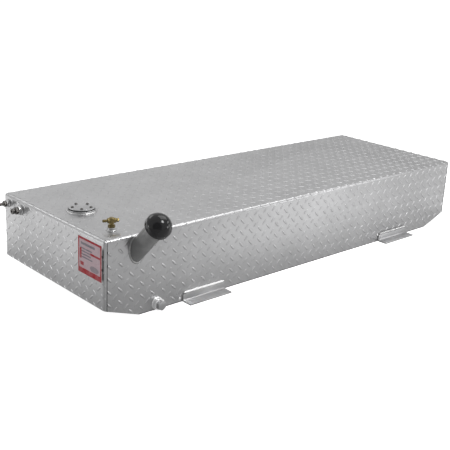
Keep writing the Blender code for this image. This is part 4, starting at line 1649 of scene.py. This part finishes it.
@dataclass
class Vent:
    """Brass vent on top: bung, nipple with a hexagon, tee, barb and plug.

    Attributes:
        bung: the weld bung.
        hexagon: size of the nipple's hexagon over its flats, and its height.
        stem_radius: radius of the nipple's stem.
        stem_bore: radius of the bore through nipple and barb.
        arm_height: height of the tee's run over the top.
        arm_reach: half length of the tee's run.
        body_radius: how far the tee's body reaches below the run's middle.
        body: outline of the tee's upright body.
        run: outline of the tee's run.
        run_bore: radius of the bore through the run.
        barb: radius and length of the hose barb.
        plug: radius over corners and length of the square plug.
        plug_edge: bevel of the plug.
        facets: facets round the turned pieces.
    """

    bung: Bung = Bung(0.0135, 0.009, 0.0061, 0.007, 0.0022)
    hexagon: Pair = (0.0170, 0.0065)
    stem_radius: float = 0.0058
    stem_bore: float = 0.0022
    arm_height: float = 0.0270
    arm_reach: float = 0.0115
    body_radius: float = 0.0075
    body: Outline = (
        (0, 0.0090), (0.0052, 0.0088), (0.0070, 0.0074), (0.0075, 0.0055),
        (0.0075, -0.0068), (0.0068, -0.0075), (0, -0.0075),
    )
    run: Outline = (
        (0, 0.0115), (0.0062, 0.0115), (0.0069, 0.0108), (0.0069, 0.0070), (0.0064, 0.0064),
        (0.0064, -0.0064), (0.0069, -0.0070), (0.0069, -0.0108), (0.0062, -0.0115), (0, -0.0115),
    )
    run_bore: float = 0.0030
    barb: Pair = (0.0042, 0.0125)
    plug: Pair = (0.0056, 0.008)
    plug_edge: float = 0.0006
    facets: int = 40

    def build_nipple(self, base: Vector) -> None:
        """Hexagon nipple from the bung up to the tee.

        Args:
            base: middle of the bung's foot.
        """
        foot, stem_foot = self.bung.height + SEAT, self.bung.height - self.bung.depth + SEAT
        stem_top = self.arm_height - self.body_radius - SEAT
        nipple = hex_head("brass_nipple", self.hexagon[0], foot, foot + self.hexagon[1])
        radius, bore = self.stem_radius, self.stem_bore
        stem = [
            (bore, stem_top), (radius - 0.0002, stem_top), (radius, stem_top - 0.0004),
            (radius, stem_foot), (bore, stem_foot),
        ]
        combine(nipple, turned("stem", stem, self.facets), "UNION")
        combine(nipple, drum("bore", bore, *DRILL, DRILL_SIDES))
        dress(place(nipple, base), BRASS, Slot.BRASS, "vent_nipple")

    def build_tee(self, centre: Vector, lay: Turn) -> None:
        """Tee with a bore along its run.

        Args:
            centre: middle of the run.
            lay: turn that lays a piece along the run.
        """
        body = place(turned("brass_tee", self.body, self.facets), centre)
        combine(body, place(turned("run", self.run, self.facets), centre, lay), "UNION")
        combine(body, place(drum("bore", self.run_bore, *DRILL, DRILL_SIDES), centre, lay))
        dress(body, BRASS, Slot.BRASS, "vent_tee")

    def build(self) -> None:
        """Builds the vent from its bung up to the tee and its two ends."""
        base = VENT_PLACE + Vector((0, 0, SEAT))
        self.bung.build("vent_boss", "vent_bung", base)
        self.build_nipple(base)
        centre = base + Vector((0, 0, self.arm_height))
        direction = Vector((math.cos(VENT_ARM_TURN), math.sin(VENT_ARM_TURN), 0))
        lay = (0, QUARTER, VENT_ARM_TURN)
        self.build_tee(centre, lay)

        barb = turned("brass_barb", barb_outline(self.barb[0], self.stem_bore, self.barb[1], 2), self.facets)
        place(barb, centre + direction * (self.arm_reach + SEAT), lay)
        dress(barb, BRASS, Slot.BRASS, "vent_barb")

        plug = bevel(drum("brass_plug", self.plug[0], 0, self.plug[1], 4), self.plug_edge)
        place(plug, centre - direction * (self.arm_reach + SEAT + self.plug[1]), lay)
        dress(plug, BRASS, Slot.BRASS, "vent_plug")


@dataclass
class Drain:
    """Weld bung low on the front with a hexagon plug.

    Attributes:
        bung: the weld bung.
        hexagon: size of the plug's hexagon over its flats, and its height.
        shank_radius: radius of the plug's shank.
    """

    bung: Bung = Bung(0.0180, 0.014, 0.0108, 0.012, 0.0094)
    hexagon: Pair = (0.0254, 0.0110)
    shank_radius: float = 0.0105

    def build(self) -> None:
        """Builds the bung and its plug."""
        foot = DRAIN_PLACE - Vector((0, SEAT, 0))
        # The bung takes the near-white lit copy of the weld metal, a painted highlight.
        self.bung.build("drain_boss", "drain_bung", foot, OUT_FRONT, WELD)
        plug = hex_head("drain_hexagon", self.hexagon[0], 0, self.hexagon[1])
        radius, end = self.shank_radius, SEAT - self.bung.depth
        shank = [(0, 0.0002), (radius, 0.0002), (radius, end + 0.0005), (radius - 0.0005, end), (0, end)]
        combine(plug, turned("shank", shank, 48), "UNION")
        seat = foot - Vector((0, self.bung.height + SEAT, 0))
        dress(place(plug, seat, OUT_FRONT), PLATE, Slot.PLAIN, "drain_plug")


@dataclass(frozen=True)
class HoseFitting:
    """A fitting on the left end: a hexagon with a shank, a tail and a bore, in a weld bung.

    Attributes:
        name: first word of the names of its pieces and nodes.
        piece: second word of the fitting's own name.
        node: second word of the fitting's node.
        spot: place of the bung on the sheet.
        bung: the weld bung.
        hexagon: size of the hexagon over its flats, and its height.
        tail: outline of what stands out of the hexagon.
        bore: radius of the bore.
        shank: outline of the threaded shank.
        facets: facets round the turned pieces.
    """

    name: str
    piece: str
    node: str
    spot: Vector
    bung: Bung
    hexagon: Pair
    tail: Outline
    bore: float
    shank: Outline = ((0, 0.0002), (0.0066, 0.0002), (0.0066, -0.0050), (0.0060, -0.0057), (0, -0.0057))
    facets: int = 40

    def build(self) -> None:
        """Builds the bung and the fitting that is screwed into it."""
        foot = self.spot - Vector((SEAT, 0, 0))
        self.bung.build(f"{self.name}_boss", f"{self.name}_bung", foot, OUT_LEFT)
        fitting = hex_head(f"{self.name}_{self.piece}", self.hexagon[0], 0, self.hexagon[1])
        combine(fitting, turned("tail", self.tail, self.facets), "UNION")
        combine(fitting, turned("shank", self.shank, self.facets), "UNION")
        combine(fitting, drum("bore", self.bore, *DRILL, DRILL_SIDES))
        place(fitting, foot - Vector((self.bung.height + SEAT, 0, 0)), OUT_LEFT)
        dress(fitting, STEEL, Slot.STEEL, f"{self.name}_{self.node}")


# Neck and round nut of the outlet's adapter, and the return's barb, which starts inside its hexagon
OUTLET_NUT = (
    (0, 0.018), (0.0074, 0.018), (0.0082, 0.0172), (0.0082, 0.0128), (0.0076, 0.012),
    (0.0062, 0.012), (0.0062, 0.004), (0, 0.004),
)
RETURN_TAIL = tuple((radius, height + 0.0035) for radius, height in barb_outline(0.0050, 0.0, 0.0275))

HOSE_FITTINGS = (
    HoseFitting(
        "outlet", "nipple", "adapter", OUTLET_PLACE, Bung(0.0150, 0.010, 0.0069, 0.006, 0.00505),
        (0.0190, 0.008), OUTLET_NUT, 0.0038,
    ),
    HoseFitting(
        "return", "fitting", "barb", RETURN_PLACE, Bung(0.0120, 0.008, 0.0069, 0.006, 0.0027),
        (0.0160, 0.007), RETURN_TAIL, 0.0027,
    ),
)


@dataclass
class Bracket:
    """One angle foot with the weld along its top.

    Attributes:
        name: side and end of the tank.
        centre: middle of its length.
        wall: -1 on the front, 1 on the back.
        bend: outer radius of its fold.
        edge: bevel of its cut edges.
        stitches: swells of the weld.
    """

    name: str
    centre: float
    wall: int
    bend: float = 0.008
    edge: float = 0.0006
    stitches: int = 5

    def build(self) -> None:
        """Builds the angle and its weld."""
        half = BRACKET_LENGTH / 2
        face, tip = (self.wall * (WIDTH / 2 + reach) for reach in (SEAT, BRACKET_FOOT))
        low = Vector((self.centre - half, min(face, tip), 0))
        high = Vector((self.centre + half, max(face, tip), BRACKET_LEG))
        openings = ((0, 0, 1), (-1, 0, 0), (1, 0, 0), (0, self.wall, 0))
        angle = folded_sheet(f"{self.name}_angle", low, high, openings, self.bend, BRACKET_SHEET, self.edge)
        dress(angle, PLATE, Slot.PLAIN, f"{self.name}_bracket")

        bead = stitch_bead(f"{self.name}_stitches", BRACKET_BEAD, BRACKET_LENGTH, self.stitches)
        middle = self.wall * (WIDTH / 2 + SEAT + BRACKET_BEAD)
        place(bead, Vector((self.centre, middle, BRACKET_LEG + SEAT + BRACKET_BEAD)))
        # The front left weld takes the near-white lit copy, a painted highlight; the other welds take the
        # plain weld tone.
        finish = WELD if self.name == "front_left" else BOSS
        dress(bead, finish, Slot.WELD, f"{self.name}_bracket_weld", angle=60)


@dataclass
class Tacks:
    """Two small weld tacks low on the front, each just left of a bracket.

    Attributes:
        radius: radius of a tack.
        rim: height of its straight rim.
        height: its whole height.
        places: its places along the tank and over the floor.
    """

    radius: float = 0.0042
    rim: float = 0.0004
    height: float = 0.0016
    places: tuple[Pair, ...] = ((LEFT + 0.2535, 0.0115), (RIGHT - 0.3885, 0.0245))

    def build(self) -> None:
        """Low domes that stand out of the front."""
        for i, (x, z) in enumerate(self.places):
            outline = [*dome(self.radius, self.rim, self.height, 8), (self.radius, 0), (0, 0)]
            tack = place(turned(f"weld_tack_{i + 1}", outline, 24), Vector((x, FRONT - SEAT, z)), OUT_FRONT)
            # The tacks take the near-white lit copy of the weld metal, a painted highlight.
            dress(tack, WELD, Slot.WELD, angle=60)


@dataclass(frozen=True)
class Lamp:
    """A soft rectangular lamp that looks at a point.

    Attributes:
        name: the lamp's name.
        location: where it stands.
        target: the point that it looks at.
        size: its width and height.
        power: its power in watts.
    """

    name: str
    location: Point
    target: Point
    size: Pair
    power: float

    def build(self) -> None:
        """Adds the lamp to the scene."""
        data = bpy.data.lights.new(self.name, "AREA")
        data.shape = "RECTANGLE"
        data.size, data.size_y = self.size
        data.energy = self.power
        lamp = bpy.data.objects.new(self.name, data)
        bpy.context.collection.objects.link(lamp)
        lamp.location = self.location
        towards = Vector(self.target) - Vector(self.location)
        lamp.rotation_euler = towards.to_track_quat("-Z", "Y").to_euler()


@dataclass
class Studio:
    """White floor, soft lamps and the camera at the photo's angle.

    Attributes:
        lamps: the soft lamps.
        floor_size: length of the floor's sides.
        floor_drop: how far the floor lies under the tank.
        world_level: strength of the world's light.
        world_glossy: its level in reflections, to the left and to the right.
        world_turn: range of the rightward direction between those two.
        dark_side: direction of a dark patch in reflections.
        dark_fade: fade of that patch, by the nearness to its direction.
        floor_seen: level of the floor for the camera.
        floor_glossy: level of the floor's painted light in reflections.
        floor_paper: darker and lighter colour of the floor.
        floor_clouds: size of the clouds between those two.
        floor_mirrored: darker colour that the floor takes in reflections only, so that its painted levels
            show there.
        near_fade: fade of the painted shadow of the reflected floor, by the distance from the tank.
        left_fade: fade of painted shade towards the left and the front.
        right_fade: fade of painted shade towards the right.
        beside_fade: fade of painted shade beside the left end.
        focal: focal length in pixels of the photo.
        photo_size: width of the photo in pixels.
        sensor: width of the camera's sensor in millimetres.
        angles: azimuth, elevation and roll of the camera in degrees.
        target: point that the camera looks at.
        distance: distance of the camera from that point.
    """

    lamps: tuple[Lamp, ...] = (
        Lamp("key", (0.14, -2.10, 2.72), (-0.2, -0.2, 0.2), (0.9, 0.9), 40.0),
        Lamp("side", (2.4, -1.7, 0.5), (-0.2, -0.2, 0.1), (0.8, 0.8), 4.0),
        Lamp("low", (2.1, -2.9, 0.4), (0.6, -0.26, 0.1), (0.8, 0.6), 9.0),
        Lamp("left", (-3.2, 1.35, 0.35), (-0.76, 0.0, 0.12), (0.7, 0.5), 8.0),
        Lamp("bend", (3.0, -1.7, 1.8), (0.2, -0.25, 0.23), (1.4, 0.5), 9.0),
        Lamp("over_front", (1.4, -0.2, 2.6), (1.4, -0.2, 0.0), (3.0, 1.6), 33.0),
        Lamp("over_left", (-0.8, 3.1, 2.6), (-0.8, 3.1, 0.0), (1.6, 1.6), 18.0),
    )
    floor_size: float = 60
    floor_drop: float = 0.0002
    world_level: float = 0.30
    world_glossy: Pair = (0.82, 0.58)
    world_turn: Pair = (0.5, 0.9)
    dark_side: Point = (-0.646, -0.693, 0.320)
    dark_fade: Fade = (0.72, 0.90, (1.0, 0.15))
    floor_seen: float = 0.85
    floor_glossy: float = 1.56
    floor_paper: tuple[Color, Color] = ((0.80, 0.80, 0.80), (0.82, 0.82, 0.82))
    floor_clouds: float = 0.4
    floor_mirrored: Color = (0.12, 0.12, 0.12)
    near_fade: Fade = (0.02, 0.38, (0.32, 1.0))
    left_fade: Fade = (-1.75, -0.6, (0.42, 1.0))
    right_fade: Fade = (0.7, 1.2, (1.0, 0.50))
    beside_fade: Fade = (-1.0, -0.8, (0.74, 1.0))
    focal: float = 853.4
    photo_size: int = 450
    sensor: float = 36
    angles: Point = (-43.02, 18.64, 2.88)
    target: Point = (-0.1082, 0.0, 0.0792)
    distance: float = 2.803

    def build_floor(self) -> None:
        """Pale floor that is white to the camera, less the object's shadow, and shows painted light and shade
        in reflections.
        """
        bpy.ops.mesh.primitive_plane_add(size=self.floor_size, location=(0, 0, -self.floor_drop))
        floor = taken("studio_floor")
        graph = Graph.new("floor_paper")
        shader = graph.shader
        paper = graph.blend(graph.clouds(self.floor_clouds), *self.floor_paper)
        graph.put(shader.inputs["Base Color"], graph.blend(graph.seen(0.0, 1.0), paper, self.floor_mirrored))
        shader.inputs["Roughness"].default_value = 0.9
        shader.inputs["Specular IOR Level"].default_value = 0.1
        graph.put(shader.inputs["Emission Color"], (1.0, 1.0, 1.0))
        x, y, _ = graph.axes()
        beyond = [
            graph.math("MAXIMUM", graph.math("SUBTRACT", graph.math("ABSOLUTE", axis), half), 0.0)
            for axis, half in ((x, LENGTH / 2), (y, WIDTH / 2))
        ]
        # In reflections the floor glows with painted light, with a painted shadow near the tank and painted
        # shade towards the left, the front, the right and beside the left end.
        mirrored = graph.times(
            graph.spread(graph.math("MAXIMUM", *beyond), *self.near_fade),
            graph.spread(graph.math("MULTIPLY_ADD", y, 2.0, x), *self.left_fade),
            graph.spread(x, *self.right_fade),
            graph.spread(x, *self.beside_fade),
            self.floor_glossy,
        )
        graph.put(shader.inputs["Emission Strength"], graph.seen(self.floor_seen, mirrored))
        floor.data.materials.append(graph.material)

    def build_world(self) -> None:
        """White world that is darker in some reflections."""
        world = bpy.data.worlds.new("studio_world")
        world.use_nodes = True
        background = world.node_tree.nodes["Background"]
        background.inputs["Color"].default_value = (1, 1, 1, 1)
        graph = Graph(world)
        direction = graph.node("ShaderNodeTexCoord").outputs["Generated"]
        rightward = graph.node("ShaderNodeSeparateXYZ", {0: direction}).outputs[0]
        level = graph.spread(rightward, *self.world_turn, self.world_glossy)
        pair = {0: direction, 1: self.dark_side}
        near = graph.node("ShaderNodeVectorMath", pair, operation="DOT_PRODUCT").outputs["Value"]
        bright = graph.seen(1.0, graph.times(level, graph.spread(near, *self.dark_fade)))
        graph.put(background.inputs["Strength"], graph.math("MAXIMUM", bright, self.world_level))
        bpy.context.scene.world = world

    def build_camera(self) -> None:
        """Camera fitted to the tank's corners in the photo."""
        data = bpy.data.cameras.new("camera")
        data.sensor_width = self.sensor
        data.lens = self.focal / self.photo_size * self.sensor
        camera = bpy.data.objects.new("camera", data)
        bpy.context.collection.objects.link(camera)
        azimuth, elevation, roll = (math.radians(angle) for angle in self.angles)
        level = Vector((math.cos(azimuth), math.sin(azimuth), 0))
        flat = math.cos(elevation)
        back = Vector((math.sin(azimuth) * flat, -math.cos(azimuth) * flat, math.sin(elevation)))
        rise = back.cross(level)
        right = level * math.cos(roll) + rise * math.sin(roll)
        up = rise * math.cos(roll) - level * math.sin(roll)
        turn = Matrix((right, up, back)).transposed().to_4x4()
        camera.matrix_world = Matrix.Translation(Vector(self.target) + back * self.distance) @ turn
        bpy.context.scene.camera = camera

    def build(self) -> None:
        """Builds the floor, the world, the camera and the lamps."""
        self.build_floor()
        self.build_world()
        self.build_camera()
        for lamp in self.lamps:
            lamp.build()
        bpy.context.scene.view_settings.view_transform = "Standard"


def main() -> None:
    """Builds the looks of the tank and its studio."""
    logging.basicConfig(level=logging.INFO, format="%(name)s %(message)s")
    Studio().build()
    Shell().build()
    Label().build()
    Filler().build()
    Port().build()
    Vent().build()
    Drain().build()
    for fitting in HOSE_FITTINGS:
        fitting.build()
    Tacks().build()
    for side, wall in (("front", -1), ("rear", 1)):
        for end, centre in BRACKET_CENTRES.items():
            Bracket(f"{side}_{end}", centre, wall).build()


if __name__ == "__main__":
    main()
